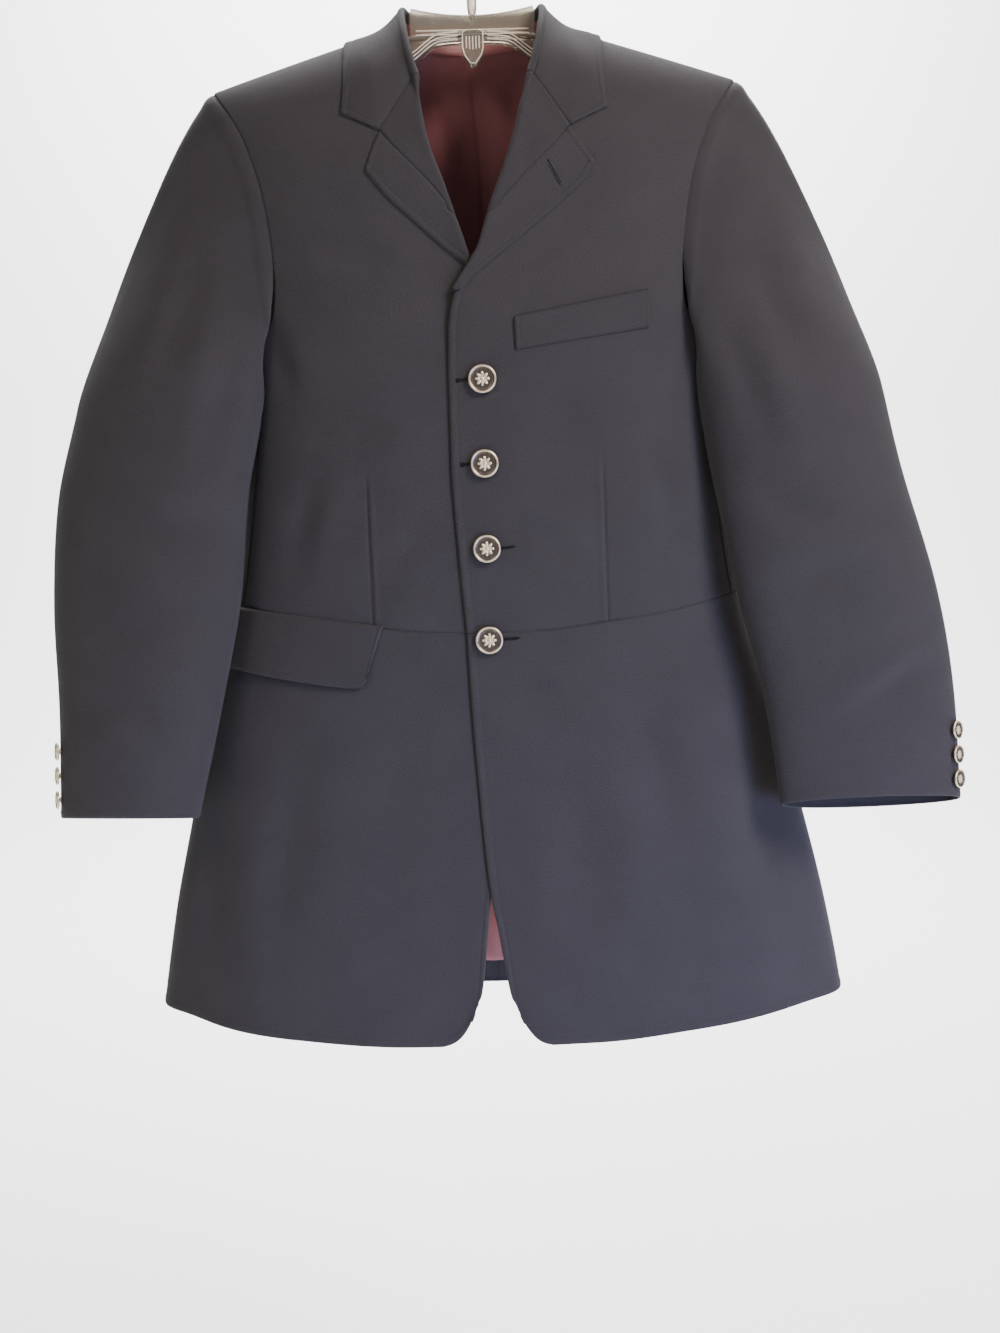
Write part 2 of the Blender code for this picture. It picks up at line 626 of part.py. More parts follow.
def lapel(side):
    """Grids of the inner piece and of the band, as middle surfaces."""
    over = side > 0
    edge = LAPEL_EDGE_OVER if over else LAPEL_EDGE_UNDER
    seam = BAND_SEAM_OVER if over else BAND_SEAM_UNDER
    foot_z, end_z = seam[-1][1], edge[-1][1] - 2.0
    edge_split = 0.36 if over else 0.44
    top_z = LAPEL_TOP_Z

    def fold_part(z, low, high, gap=LAPEL_FOLD_GAP):
        foot, normal, across = fold_frame(z, side)
        return curl(foot + across * gap, normal, across, low, high)

    def seam_lift(t):
        return (EDGE_LIFT + 0.4) * (1 - t) + FOLD_LIFT * t

    def laid(p, height):
        return lift(front_point(p[0], p[1], side), height, side, snap=True)

    inner_grid, band_top, band_low = [], [], []
    last_z = spline(seam, BAND_SEAM_END)[1]
    for k in range(7):
        t = k / 6
        z = top_z + (last_z - top_z) * t
        start = roll_spot(z, side)
        end = spline(seam, BAND_SEAM_END * t) + np.array((-0.6, 0.55))
        row = list(fold_part(z, -CLOTH / 2, FOLD_LIFT))
        for m in range(1, 5):
            w = m / 4
            row.append(laid(start * (1 - w) + end * w, FOLD_LIFT * (1 - w) + seam_lift(t) * w))
        inner_grid.append(row)
    for k in range(7):
        t = k / 6
        start = spline(seam, t)
        end = spline(edge, edge_split * t)
        row = []
        for m in range(4):
            w = m / 3
            row.append(laid(start * (1 - w) + end * w, seam_lift(t) * (1 - w) + EDGE_LIFT * w))
        band_top.append(row)
    for k in range(9):
        t = k / 8
        z = foot_z + (end_z - foot_z) * t
        high = FOLD_LIFT * (1 - 0.45 * t)
        band_gap = LAPEL_FOLD_GAP + (BAND_FOLD_GAP - LAPEL_FOLD_GAP) * ease(t, 0.0, 0.3)
        start = roll_spot(z, side)
        end = spline(edge, edge_split + (1 - edge_split) * t)
        row = list(fold_part(z, -CLOTH / 2, high, band_gap))
        for m in range(1, 4):
            w = m / 3
            row.append(laid(start * (1 - w) + end * w, high * (1 - w) + EDGE_LIFT * w))
        band_low.append(row)
    band_top[-1] = band_low[0][-4:]
    band_top[-1][0] = band_low[0][CURL_STEPS]
    return np.array(inner_grid), np.array(band_top), np.array(band_low)


for side, word in ((1, "left"), (-1, "right")):
    inner_grid, band_top, band_low = lapel(side)
    inner_grid = inset(inner_grid, sides="abr")
    band_top = inset(band_top, sides="al")
    band_top[-1] = band_low[0][-4:]
    facing = ((side * 60.0, -75.0, -230.0), (0, -1, 0))
    sheet("lapel_" + word, [inner_grid], wool, offset=0.0, outward=facing)
    sheet("lapel_band_" + word, [band_top, band_low], wool, offset=0.0, outward=facing)


# Collar

def neck_point(share, side):
    """Point, normal and direction towards the neck hole on the neckline, centre back to gorge."""
    behind = share_line([(angle_of(x, z, True), z) for x, z in NECK_BACK + (NECK_POINT,)])
    ahead = seam_line(opening_table(side), NECK_POINT[1], -158.0)

    def place(at):
        at = min(max(at, 0.0), 1.0)
        past = (at - NECK_SPLIT) / (1.0 - NECK_SPLIT)
        angle, z = behind(at / NECK_SPLIT) if at < NECK_SPLIT else ahead(past)
        layer = lap_at(angle, z, side)
        return body_point(angle, z, side, layer), body_normal(angle, z, side, layer)
    here, normal = place(share)
    along = place(share + 0.02)[0] - place(share - 0.02)[0]
    along /= np.linalg.norm(along)
    hole = np.cross(normal, along)
    hole /= np.linalg.norm(hole)
    if np.dot(hole, np.array((0.0, -5.0, here[2])) - here) < 0:
        hole = -hole
    return here, normal, hole


def collar_station(share):
    """Fold and outer edge at a share of the way from centre back to gorge."""
    return [spline([row[k] for row in COLLAR_STATIONS], share) for k in range(2)]


FALL_STEPS = 6


def collar_half(side):
    rows = []
    count = 12
    for k in range(count + 1):
        share = k / count
        fold, edge = collar_station(share)
        neck, normal, hole = neck_point(share, 1)
        ahead, behind = collar_station(min(share + 0.02, 1.0)), collar_station(max(share - 0.02, 0.0))
        along = ahead[0] - behind[0]
        along /= np.linalg.norm(along)
        base = neck + hole * (CLOTH / 2 + SEAM_GAP + 0.4) - normal * 0.8
        up = fold - base
        up -= np.dot(up, along) * along
        up /= np.linalg.norm(up)
        out = np.cross(up, along)
        out /= np.linalg.norm(out)
        if np.dot(out, edge - fold) < 0:
            out = -out
        radius = COLLAR_FOLD_RADIUS
        centre = fold - up * radius
        turned = [centre + radius * (-out * math.cos(math.pi * m / 4) + up * math.sin(math.pi * m / 4))
                  for m in range(5)]
        stand = [base * (1 - m / 3) + turned[0] * (m / 3) for m in range(3)]
        fall = []
        for m in range(1, FALL_STEPS + 1):
            w = m / FALL_STEPS
            fall.append(turned[-1] * (1 - w) + edge * w)
        rows.append([stand, turned, fall])
    end = rows[-1]
    fold_end = end[1][-1]
    notch = np.array((GORGE_NOTCH[0], -64.0, GORGE_NOTCH[1]))
    point = np.array(COLLAR_STATIONS[-1][1])
    cut = (fold_end, notch, point)
    corner = 0.55
    for m in range(1, FALL_STEPS + 1):
        w = m / FALL_STEPS
        target = (cut[0] * (1 - w / corner) + cut[1] * (w / corner) if w < corner
                  else cut[1] * (1 - (w - corner) / (1 - corner)) + cut[2] * (w - corner) / (1 - corner))
        for back_rows, weight in ((1, 1.0), (2, 0.72), (3, 0.45), (4, 0.2), (5, 0.06)):
            straight = rows[-back_rows][2][m - 1]
            shift = target - end[1][-1] * (1 - w) - point * w
            rows[-back_rows][2][m - 1] = straight + shift * weight
    grid = []
    for share_row, (stand, turned, fall) in enumerate(rows):
        mirrored = [np.array((p[0] * side, p[1], p[2])) for p in stand + turned]
        for m, p in enumerate(fall):
            w = (m + 1) / FALL_STEPS
            height = COLLAR_EDGE_LIFT if w == 1.0 or share_row == len(rows) - 1 else COLLAR_LIFT
            height += COLLAR_BACK_LIFT * ease(p[1], -35.0, 0.0)
            mirrored.append(lift((p[0] * side, p[1], p[2]), height, side, snap=w == 1.0))
        grid.append(mirrored)
    return np.array(grid)


left_half, right_half = collar_half(1), collar_half(-1)
right_half[0] = left_half[0]
collar_grid = np.concatenate((right_half[:0:-1], left_half), axis=0)
sheet("collar", [inset(collar_grid, sides="ab")], wool, offset=0.0, outward=((0.0, 52.0, -105.0), (0, 1, 0)))


# Sleeves

def armhole_loop(turn):
    """Angle and height on the body for an angle round the sleeve, zero at the shoulder tip."""
    turn = turn % 360.0
    if turn < 160.0:
        return armhole_front(turn / 160.0)
    if turn < 205.0:
        return armhole_under((turn - 160.0) / 45.0)
    return armhole_back((turn - 205.0) / 155.0)


def sleeve_ring(table, turn, drop):
    """Point of the sleeve at an angle round it and a share of the way to the cuff."""
    top, foot = table[0][0], table[-1][0]
    z = top + (foot - top) * drop
    cx, cy, half, depth, yaw = smooth(table, z)
    t, w = math.radians(float(smooth(SLEEVE_TWIST, turn % 360.0)[0])), math.radians(yaw)
    u, v = half * math.cos(t), -depth * math.sin(t)
    x = cx + u * math.cos(w) - v * math.sin(w)
    y = cy + u * math.sin(w) + v * math.cos(w)
    return np.array((x, y, z + CUFF_SLANT * math.sin(t) * drop ** 2))


def clear_of_body(point, margin):
    """Moves a sleeve point below the armpit's height out of the body's section, with some air."""
    half, front, back_depth, power = smooth(BODY_SECTIONS, point[2])
    depth = front if point[1] < 0 else back_depth
    across = (abs(point[0]) / half) ** (power / 2.0)
    along = (abs(point[1]) / depth) ** (power / 2.0)
    angle = math.degrees(math.atan2(across, along))
    edge = float(smooth(ARMHOLE_UNDER, 180.0 - angle if point[1] > 0 else angle)[0])
    air = UNDERARM_AIR + (margin - UNDERARM_AIR) * ease(edge - point[2], 0.0, 9.0)
    level = (abs(point[0]) / (half + air)) ** power + (abs(point[1]) / (depth + air)) ** power
    if level < 1.0:
        grow = 1.0 + (level ** (-1.0 / power) - 1.0) * ease(-point[2], 290.0, 325.0)
        return np.array((point[0] * grow, point[1] * grow, point[2]))
    return point


# Direction in which the sleeve leaves the lower half of the armhole
# angle round the sleeve, x, y, z
LOWER_LEAVE = (
    (90.0, 0.85, -0.5, -0.2),
    (120.0, 0.5, -0.7, -0.5),
    (145.0, 0.25, -0.6, -0.75),
    (165.0, 0.5, -0.35, -0.6),
    (182.0, 0.85, -0.1, -0.3),
    (200.0, 0.6, 0.2, -0.6),
    (218.0, 0.4, 0.5, -0.75),
    (245.0, 0.75, 0.6, -0.35),
    (270.0, 0.85, 0.5, -0.2),
)
HEAD_ROWS, ARM_ROWS = 8, 9
UNDERARM_AIR, SLEEVE_AIR = 1.6, 4.5


def low_half(turn):
    """One round the underarm, none over the shoulder."""
    return 1.0 - ease(abs((turn % 360.0) - 182.0), 35.0, 90.0)


def leaving(turn):
    """Start of a sleeve line on the armhole and the direction in which it leaves."""
    angle, z = armhole_loop(turn)
    start = body_point(angle, z)
    rim = body_point(*armhole_loop(turn + 2.0)) - body_point(*armhole_loop(turn - 2.0))
    rim /= np.linalg.norm(rim)
    across = np.cross(body_normal(angle, z), rim)
    if across[0] < 0:
        across = -across
    low = low_half(turn)
    leave = across * (1.0 - low) + smooth(LOWER_LEAVE, turn % 360.0) * low
    leave -= np.dot(leave, rim) * rim
    return start, leave / np.linalg.norm(leave)


def sleeve_point(table, turn, row):
    """Skin of the sleeve at an angle round it and a row down it, which may be fractional."""
    if row >= HEAD_ROWS:
        p = sleeve_ring(table, turn, (row - HEAD_ROWS) / ARM_ROWS)
        return clear_of_body(p, SLEEVE_AIR)
    start, leave = leaving(turn)
    first = start + leave * SEAM_GAP + body_normal(*armhole_loop(turn)) * UNDERARM_AIR * low_half(turn)
    top = sleeve_ring(table, turn, 0.0)
    down = sleeve_ring(table, turn, 0.04) - top
    down /= np.linalg.norm(down)
    pull = 26.0 + 104.0 * ease(abs((turn % 360.0) - 182.0), 30.0, 180.0)
    run = min(200.0, np.linalg.norm(top - first) * 1.1)
    t = row / HEAD_ROWS
    a, b = (1 + 2 * t) * (1 - t) ** 2, t * (1 - t) ** 2
    c, d = t * t * (3 - 2 * t), t * t * (t - 1)
    p = a * first + b * leave * pull + c * top + d * down * run
    return clear_of_body(p, SLEEVE_AIR) if row > 0.0 else p


def sleeve_normal(table, turn, row):
    total = HEAD_ROWS + ARM_ROWS
    round_step = sleeve_point(table, turn + 2.0, row) - sleeve_point(table, turn - 2.0, row)
    down_step = (sleeve_point(table, turn, min(row + 0.1, total))
                 - sleeve_point(table, turn, max(row - 0.1, 0.0)))
    normal = np.cross(round_step, down_step)
    return normal / np.linalg.norm(normal)


def sleeve_grid(table, side, top_piece):
    """Columns run round the sleeve between the forearm and hindarm seams."""
    columns = len(TOP_SLEEVE_TURNS) - 1 if top_piece else 9
    skin, normals = [], []
    total = HEAD_ROWS + ARM_ROWS
    for i in range(columns + 1):
        w = (TOP_SLEEVE_TURNS[i] - HINDARM_TOP) / (FOREARM_SEAM - HINDARM_TOP) if top_piece else i / columns
        points, outs = [], []
        for k in range(total + 1):
            low = ease(k, HEAD_ROWS * 0.5, total)
            hind = HINDARM_TOP + (HINDARM_CUFF - HINDARM_TOP) * low
            start, end = (hind, FOREARM_SEAM) if top_piece else (FOREARM_SEAM, hind + 360.0)
            turn = start + (end - start) * w
            flip = np.array((side, 1.0, 1.0))
            points.append(sleeve_point(table, turn, k) * flip)
            outs.append(sleeve_normal(table, turn, k) * flip)
        skin.append(points)
        normals.append(outs)
    return np.array(skin), np.array(normals)


for side, word, table in ((1, "left", SLEEVE_LEFT), (-1, "right", SLEEVE_RIGHT)):
    for piece, top_piece in (("top_sleeve_", True), ("under_sleeve_", False)):
        skin, normals = sleeve_grid(table, side, top_piece)
        outer = inset(skin)
        wall(piece + word, outer, outer - normals * CLOTH, wool)


# Back lining: inside the back panels, from the neck and shoulders to just above the hem

LINING_DEPTH = CLOTH + LAY_GAP + 0.2
LINING_FOOT_SHARE = 0.30     # share of the lowest row of the back that the lining leaves bare
LINING_SIDE_SHARE = 0.85     # share of the outermost column that it covers


def lining_half(word, depth):
    """The back's own grid moved inwards, cut short at the hem, the side and the neck."""
    grid = (skins["back_" + word] - faces_in["back_" + word] * depth)[:-3].copy()
    grid[0] += (grid[1] - grid[0]) * LINING_FOOT_SHARE
    grid[:, -1] -= (grid[:, -1] - grid[:, -2]) * (1.0 - LINING_SIDE_SHARE)
    return grid


def lining_skin(depth):
    return np.concatenate((lining_half("right", depth)[:, :0:-1], lining_half("left", depth)), axis=1)


wall("back_lining", lining_skin(LINING_DEPTH), lining_skin(LINING_DEPTH + LINING), satin, turned=BACK_COLUMNS)


# Pocket welt and flap

def laid_patch(name, rows, side, low=LAY_GAP, high=LAY_GAP, thickness=1.6):
    """Patch whose rows of x and z are laid on the front of the body."""
    under, over = [], []
    for j, row in enumerate(rows):
        w = j / (len(rows) - 1)
        height = low * (1 - w) + high * w
        skin = [body_point(a, z, side, lap_at(a, z, side)) for a, z in row]
        normals = [body_normal(a, z, side) for a, z in row]
        under.append([p + n * height for p, n in zip(skin, normals)])
        over.append([p + n * (height + thickness) for p, n in zip(skin, normals)])
    wall(name, np.array(over), np.array(under), wool)


def patch_rows(foot, head, columns, rows):
    """Rows of angle and height between two lines given as x and z."""
    foot, head = [[(angle_of(abs(x), z), z) for x, z in line] for line in (foot, head)]
    out = []
    for j in range(rows + 1):
        w = j / rows
        out.append([spline(foot, i / columns) * (1 - w) + spline(head, i / columns) * w
                    for i in range(columns + 1)])
    return out


laid_patch("breast_welt", patch_rows((WELT[0], WELT[1]), (WELT[3], WELT[2]), 9, 3), 1)
laid_patch("hip_flap", patch_rows(FLAP_FOOT, FLAP_HEAD, 13, 4), -1, low=1.7, high=0.7)


# Buttons: turned disc with a raised rim and a short shank

def turned(name, profile, mat, segments):
    """Closed profile of radius and height from the axis round to the axis."""
    bm = bmesh.new()
    rings = []
    for radius, height in profile:
        if radius == 0.0:
            rings.append([bm.verts.new((0.0, 0.0, height * MM))])
        else:
            rings.append([bm.verts.new((radius * MM * math.cos(2 * math.pi * k / segments),
                                        radius * MM * math.sin(2 * math.pi * k / segments), height * MM))
                          for k in range(segments)])
    for a, b in zip(rings[:-1], rings[1:]):
        for k in range(segments):
            n = (k + 1) % segments
            if len(a) == 1:
                bm.faces.new((a[0], b[n], b[k]))
            elif len(b) == 1:
                bm.faces.new((a[k], a[n], b[0]))
            else:
                bm.faces.new((a[k], a[n], b[n], b[k]))
    bmesh.ops.recalc_face_normals(bm, faces=bm.faces)
    for f in bm.faces:
        f.smooth = True
    return mesh_object(name, bm, mat)


def button(name, radius, thick, point, normal, segments=16):
    """Disc standing on its shank, axis along the cloth's normal."""
    r = radius
    foot = 1.6
    profile = ((0.0, 0.0), (r * 0.22, 0.0), (r * 0.22, foot - 0.3), (r * 0.88, foot), (r, foot + 0.7),
               (r * 0.93, foot + thick), (r * 0.84, foot + thick), (r * 0.78, foot + thick * 0.72),
               (0.0, foot + thick * 0.86))
    obj = turned(name, profile, button_metal, segments)
    obj.rotation_mode = "QUATERNION"
    obj.rotation_quaternion = Vector((0, 0, 1)).rotation_difference(Vector(normal))
    obj.location = Vector(np.array(point) + np.array(normal) * 0.35) * MM
    return obj


for number, z in enumerate(BUTTON_Z, start=1):
    seat = front_point(BUTTON_X, z, 1)
    button("front_button_%d" % number, BUTTON_RADIUS, 2.6, seat, (0.0, -1.0, 0.0))

CUFF_BUTTON_SHARES = (0.835, 0.895, 0.955)
for side, word, table in ((1, "left", SLEEVE_LEFT), (-1, "right", SLEEVE_RIGHT)):
    for number, drop in enumerate(CUFF_BUTTON_SHARES, start=1):
        turn = 20.0
        here = sleeve_ring(table, turn, drop)
        round_step = sleeve_ring(table, turn + 3.0, drop) - sleeve_ring(table, turn - 3.0, drop)
        down_step = sleeve_ring(table, turn, drop + 0.02) - here
        normal = np.cross(round_step, down_step)
        normal /= np.linalg.norm(normal)
        if normal[0] < 0:
            normal = -normal
        here[0] *= side
        normal[0] *= side
        button("cuff_button_%s_%d" % (word, number), CUFF_BUTTON_RADIUS, 2.0, here, normal, segments=12)


# Hanger: arms that follow the shoulders, a centre plate and a boss, moulded in one

def loft(name, rings, mat):
    """Closed loft through rings of points with flat ends."""
    bm = bmesh.new()
    loops = [[bm.verts.new(Vector(p) * MM) for p in ring] for ring in rings]
    size = len(loops[0])
    for a, b in zip(loops[:-1], loops[1:]):
        for k in range(size):
            n = (k + 1) % size
            bm.faces.new((a[k], a[n], b[n], b[k]))
    bm.faces.new(loops[0])
    bm.faces.new(list(reversed(loops[-1])))
    bmesh.ops.recalc_face_normals(bm, faces=bm.faces)
    return mesh_object(name, bm, mat)


def hanger_top(x):
    """Upper edge of an arm: the flat beam at the centre, then just under the shoulder."""
    under_shoulder = shoulder_height(x) - CLOTH - 0.5
    at_neck = HANGER_BEAM_TOP - max(abs(x) - 20.0, 0.0) * 0.10
    return min(at_neck, under_shoulder)


arm_rings = []
ARM_END = HANGER_ARM[-1][0]
arm_stations = np.concatenate((np.linspace(-ARM_END, -60.0, 12), np.linspace(-49.0, 49.0, 9),
                               np.linspace(60.0, ARM_END, 12)))
for x in arm_stations:
    under, wide = smooth(HANGER_ARM, abs(x))
    top, w = hanger_top(x), wide / 2.0
    crown = w * w / 22.0
    arm_rings.append([(x, -w, under), (x, w, under), (x, w, top - crown - 1.2),
                      (x, w * 0.6, top - crown * 0.5), (x, 0.0, top), (x, -w * 0.6, top - crown * 0.5),
                      (x, -w, top - crown - 1.2)])
hanger = loft("hanger", arm_rings, clear)

plate_rings = []
for z, half, deep in HANGER_PLATE:
    plate_rings.append([(-half, -deep, z), (half, -deep, z), (half, deep, z), (-half, deep, z)])
plate = loft("plate_form", plate_rings, clear)

boss_half, boss_foot = HANGER_BOSS
boss_rings = []
for z, half in ((-104.0, boss_half), (-118.0, boss_half), (-125.0, boss_half * 0.75),
                (boss_foot, boss_half * 0.35)):
    boss_rings.append([(-half, -7.5, z), (half, -7.5, z), (half, 7.5, z), (-half, 7.5, z)])
boss = loft("boss_form", boss_rings, clear)

for form in (plate, boss):
    jacket.objects.unlink(form)
    cutters.objects.link(form)
    form.hide_render = True
    form.display_type = "WIRE"
    join = hanger.modifiers.new("join " + form.name, "BOOLEAN")
    join.operation = "UNION"
    join.object = form
    join.solver = "EXACT"


# Hook: bent wire, its inside top at the origin

def hook_path():
    wire = HOOK_WIRE / 2.0
    radius = HOOK_INNER_RADIUS + wire
    middle = -HOOK_INNER_RADIUS
    path = [(0.0, 0.0, HANGER_PLATE_TOP + 0.3), (0.0, 0.0, -56.0)]
    for k in range(1, 7):
        t = k / 7
        path.append((radius * (3 * t * t - 2 * t ** 3), 0.0, -56.0 + (middle + 56.0) * t))
    for k in range(0, 15):
        turn = math.radians(-2.0 + 197.0 * k / 14)
        path.append((radius * math.cos(turn), 0.0, middle + radius * math.sin(turn)))
    return path


curve = bpy.data.curves.new("hanger_hook", "CURVE")
curve.dimensions = "3D"
line = curve.splines.new("POLY")
path = hook_path()
line.points.add(len(path) - 1)
for item, p in zip(line.points, path):
    item.co = (p[0] * MM, p[1] * MM, p[2] * MM, 1.0)
curve.bevel_depth = HOOK_WIRE / 2.0 * MM
curve.bevel_resolution = 2
curve.use_fill_caps = True
curve.materials.append(steel)
hook = bpy.data.objects.new("hanger_hook", curve)
jacket.objects.link(hook)
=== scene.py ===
import math

import bmesh
import bpy
import numpy as np
from mathutils import Matrix, Vector
from mathutils.bvhtree import BVHTree


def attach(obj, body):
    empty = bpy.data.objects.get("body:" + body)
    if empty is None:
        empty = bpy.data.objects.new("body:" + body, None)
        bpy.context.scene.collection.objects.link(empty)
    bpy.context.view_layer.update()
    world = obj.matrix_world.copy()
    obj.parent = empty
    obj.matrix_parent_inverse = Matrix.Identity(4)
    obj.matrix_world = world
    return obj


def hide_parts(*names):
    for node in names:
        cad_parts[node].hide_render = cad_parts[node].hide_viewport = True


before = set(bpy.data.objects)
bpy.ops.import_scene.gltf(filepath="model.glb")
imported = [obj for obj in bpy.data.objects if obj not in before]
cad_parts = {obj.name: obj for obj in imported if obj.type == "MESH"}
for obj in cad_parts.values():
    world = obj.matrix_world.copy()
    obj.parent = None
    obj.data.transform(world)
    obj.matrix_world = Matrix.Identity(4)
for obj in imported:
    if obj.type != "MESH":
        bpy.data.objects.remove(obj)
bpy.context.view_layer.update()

MM = 0.001


# The picture: the jacket hangs free before a pale sweep, seen from the height of its waist
# by a camera 1.3 m away, tipped down slightly and turned by a degree and a half. A warm
# window to the right, a weak fill to the left, a cool low one and a washed wall light it.

def placed(name, data):
    item = bpy.data.objects.new(name, data)
    bpy.context.scene.collection.objects.link(item)
    return item


def feed(tree, node, inputs):
    """Gives each input of a node its value, or a link from another node's output."""
    for name, value in inputs.items():
        if isinstance(value, bpy.types.NodeSocket):
            tree.links.new(value, node.inputs[name])
        else:
            node.inputs[name].default_value = value


def surface(name, inputs):
    """Material whose shader takes the values and links that inputs makes in its tree."""
    mat = bpy.data.materials.new(name)
    mat.use_nodes = True
    feed(mat.node_tree, mat.node_tree.nodes["Principled BSDF"], inputs(mat.node_tree))
    return mat


camera_data = bpy.data.cameras.new("camera")
camera_data.sensor_fit = "VERTICAL"
camera_data.sensor_height = 36.0
camera_data.lens = 1500.0 / 1333.0 * 36.0
camera_data.clip_start = 0.05
camera = placed("camera", camera_data)
tip, roll = math.radians(7.1), math.radians(1.5)
ahead = Vector((0.0, math.cos(tip), -math.sin(tip)))
across = Vector((1.0, 0.0, 0.0))
upward = across.cross(ahead)
level = across * math.cos(roll) - upward * math.sin(roll)
plumb = across * math.sin(roll) + upward * math.cos(roll)
camera.matrix_world = (Matrix.Translation((0.009, -1.282, -0.467))
                       @ Matrix((level, plumb, -ahead)).transposed().to_4x4())
bpy.context.scene.camera = camera


def studio_sweep():
    """Floor that curves up into a wall behind the jacket."""
    bm = bmesh.new()
    floor_z, wall_y, bend, side = -1.55, 4.8, 1.4, 9.0
    profile = [(-side, floor_z), (wall_y - bend, floor_z)]
    profile += [(wall_y - bend * (1.0 - math.sin(a)), floor_z + bend * (1.0 - math.cos(a)))
                for a in np.linspace(0.1, math.pi / 2, 16)]
    profile += [(wall_y, 6.0)]
    rows = [[bm.verts.new((x, y, z)) for x in (-side, side)] for y, z in profile]
    for low, high in zip(rows[:-1], rows[1:]):
        bm.faces.new((low[0], low[1], high[1], high[0])).smooth = True
    mesh = bpy.data.meshes.new("studio_sweep")
    bm.to_mesh(mesh)
    bm.free()
    mesh.materials.append(surface("pale paper", lambda tree: {"Base Color": (0.86, 0.86, 0.86, 1.0),
                                                              "Roughness": 0.9}))
    placed("studio_sweep", mesh)


studio_sweep()

world = bpy.data.worlds.new("white room")
world.use_nodes = True
background = world.node_tree.nodes["Background"]
feed(world.node_tree, background, {"Color": (1.0, 0.975, 0.96, 1.0), "Strength": 0.30})
bpy.context.scene.world = world


def soft_lamp(name, place, aim, size, power, colour, spread=180.0):
    data = bpy.data.lights.new(name, "AREA")
    data.spread = math.radians(spread)
    data.shape = "DISK"
    data.size = size
    data.energy = power
    data.color = colour
    lamp = placed(name, data)
    lamp.location = place
    lamp.visible_camera = False
    lamp.rotation_euler = (Vector(aim) - Vector(place)).to_track_quat("-Z", "Y").to_euler()


soft_lamp("window", (1.55, -1.5, 1.0), (0.0, 0.0, -0.45), 0.9, 84.0, (1.0, 0.93, 0.88))
soft_lamp("front fill", (-1.0, -1.8, 0.9), (0.0, 0.0, -0.2), 0.7, 15.0, (1.0, 0.94, 0.90))
soft_lamp("low fill", (1.15, -1.35, -1.2), (0.08, 0.0, -1.02), 0.8, 7.0, (0.34, 0.45, 1.0), 62.0)
soft_lamp("wall wash", (0.0, 1.9, 2.6), (0.0, 4.4, -0.6), 3.0, 900.0, (1.0, 1.0, 1.0))


# Wool body: the fronts are cut in charcoal twill from the shoulder to the waist seam, two
# pieces that lap left over right, with a dart under each breast and a facing sewn behind
# the front edge. Seams are pressed open, so the cloth rolls down into each of them.

SIDES = ((1, "left"), (-1, "right"))
SHOULDER_AT_NECK = (99.5, -112.5)
SHOULDER_SLOPE = 0.30
SHOULDER_TIP_X = 213.5
SHOULDER_ROUND = 120.0
SHOULDER_POWER = 2.2


def shoulder_height(x):
    neck_x, neck_z = SHOULDER_AT_NECK
    return neck_z - SHOULDER_SLOPE * (np.abs(x) - neck_x)


NECK_POINT = (66.0, float(shoulder_height(66.0)))
SHOULDER_TIP = (SHOULDER_TIP_X, float(shoulder_height(SHOULDER_TIP_X)))

# z, half width, front depth, back depth, exponent
BODY_SECTIONS = (
    (-60.0, 232.0, 66.0, 58.0, 2.5),
    (-150.0, 225.0, 70.0, 60.0, 2.5),
    (-250.0, 208.0, 76.0, 65.0, 2.5),
    (-330.0, 200.0, 80.0, 64.0, 2.5),
    (-400.0, 197.0, 81.0, 60.0, 2.5),
    (-480.0, 203.0, 79.0, 54.0, 2.5),
    (-565.0, 215.0, 77.0, 52.0, 2.5),
    (-650.0, 239.0, 79.0, 58.0, 2.45),
    (-750.0, 262.0, 82.0, 66.0, 2.4),
    (-830.0, 281.0, 84.0, 71.0, 2.4),
    (-920.0, 297.0, 87.0, 75.0, 2.4),
    (-960.0, 303.0, 88.0, 76.0, 2.4),
)
FRONT_EDGE_OVER = ((-17.0, -590.0), (-22.0, -521.5), (-25.5, -453.0), (-25.5, -390.0), (-24.5, -350.0),
                   (-21.0, -327.0))
ROLL_OVER = ((-21.0, -327.0), (-3.5, -298.0), (12.8, -258.8), (24.8, -228.0), (34.1, -200.5), (45.0, -158.0))
FRONT_EDGE_UNDER = ((-18.0, -590.0), (-20.0, -521.5), (-21.0, -453.0), (-21.0, -390.0), (-16.0, -352.0))
ROLL_UNDER = ((-16.0, -352.0), (-3.0, -330.0), (8.3, -298.0), (27.2, -242.0), (41.7, -198.9), (47.5, -160.0))
NECK_FRONT = ((49.0, -149.0), (55.0, -132.0), (61.0, -117.0), NECK_POINT)
WAIST_SEAM = ((-20.0, -591.0), (0.0, -590.0), (28.0, -581.0), (66.0, -566.0), (90.0, -561.0), (125.0, -560.0))
HEM = ((0.0, -933.5), (12.0, -932.5), (30.0, -927.0), (50.0, -920.0), (70.0, -915.5), (90.0, -914.0),
       (125.0, -920.0), (155.0, -929.0), (180.0, -932.0))
SIDE_FRONT_SEAM = ((-568.0, 69.0), (-505.0, 67.6), (-430.0, 65.0), (-351.0, 62.0))
SIDE_BACK_SEAM = ((-935.0, 128.0), (-750.0, 126.0), (-560.0, 121.0), (-450.0, 118.0), (-351.0, 116.0))
FRONT_SEAM_ANGLE, BACK_SEAM_ANGLE, ARMPIT_Z = 69.0, 121.0, -351.0
ARMHOLE_FRONT = (SHOULDER_TIP, (198.0, -170.0), (186.0, -192.0), (175.0, -226.0), (168.5, -266.0),
                 (165.0, -306.0), (168.0, -334.0))
ARMHOLE_UNDER = ((62.0, -351.0), (70.0, -362.0), (80.0, -369.0), (90.0, -371.0), (102.0, -367.0),
                 (116.0, -351.0))
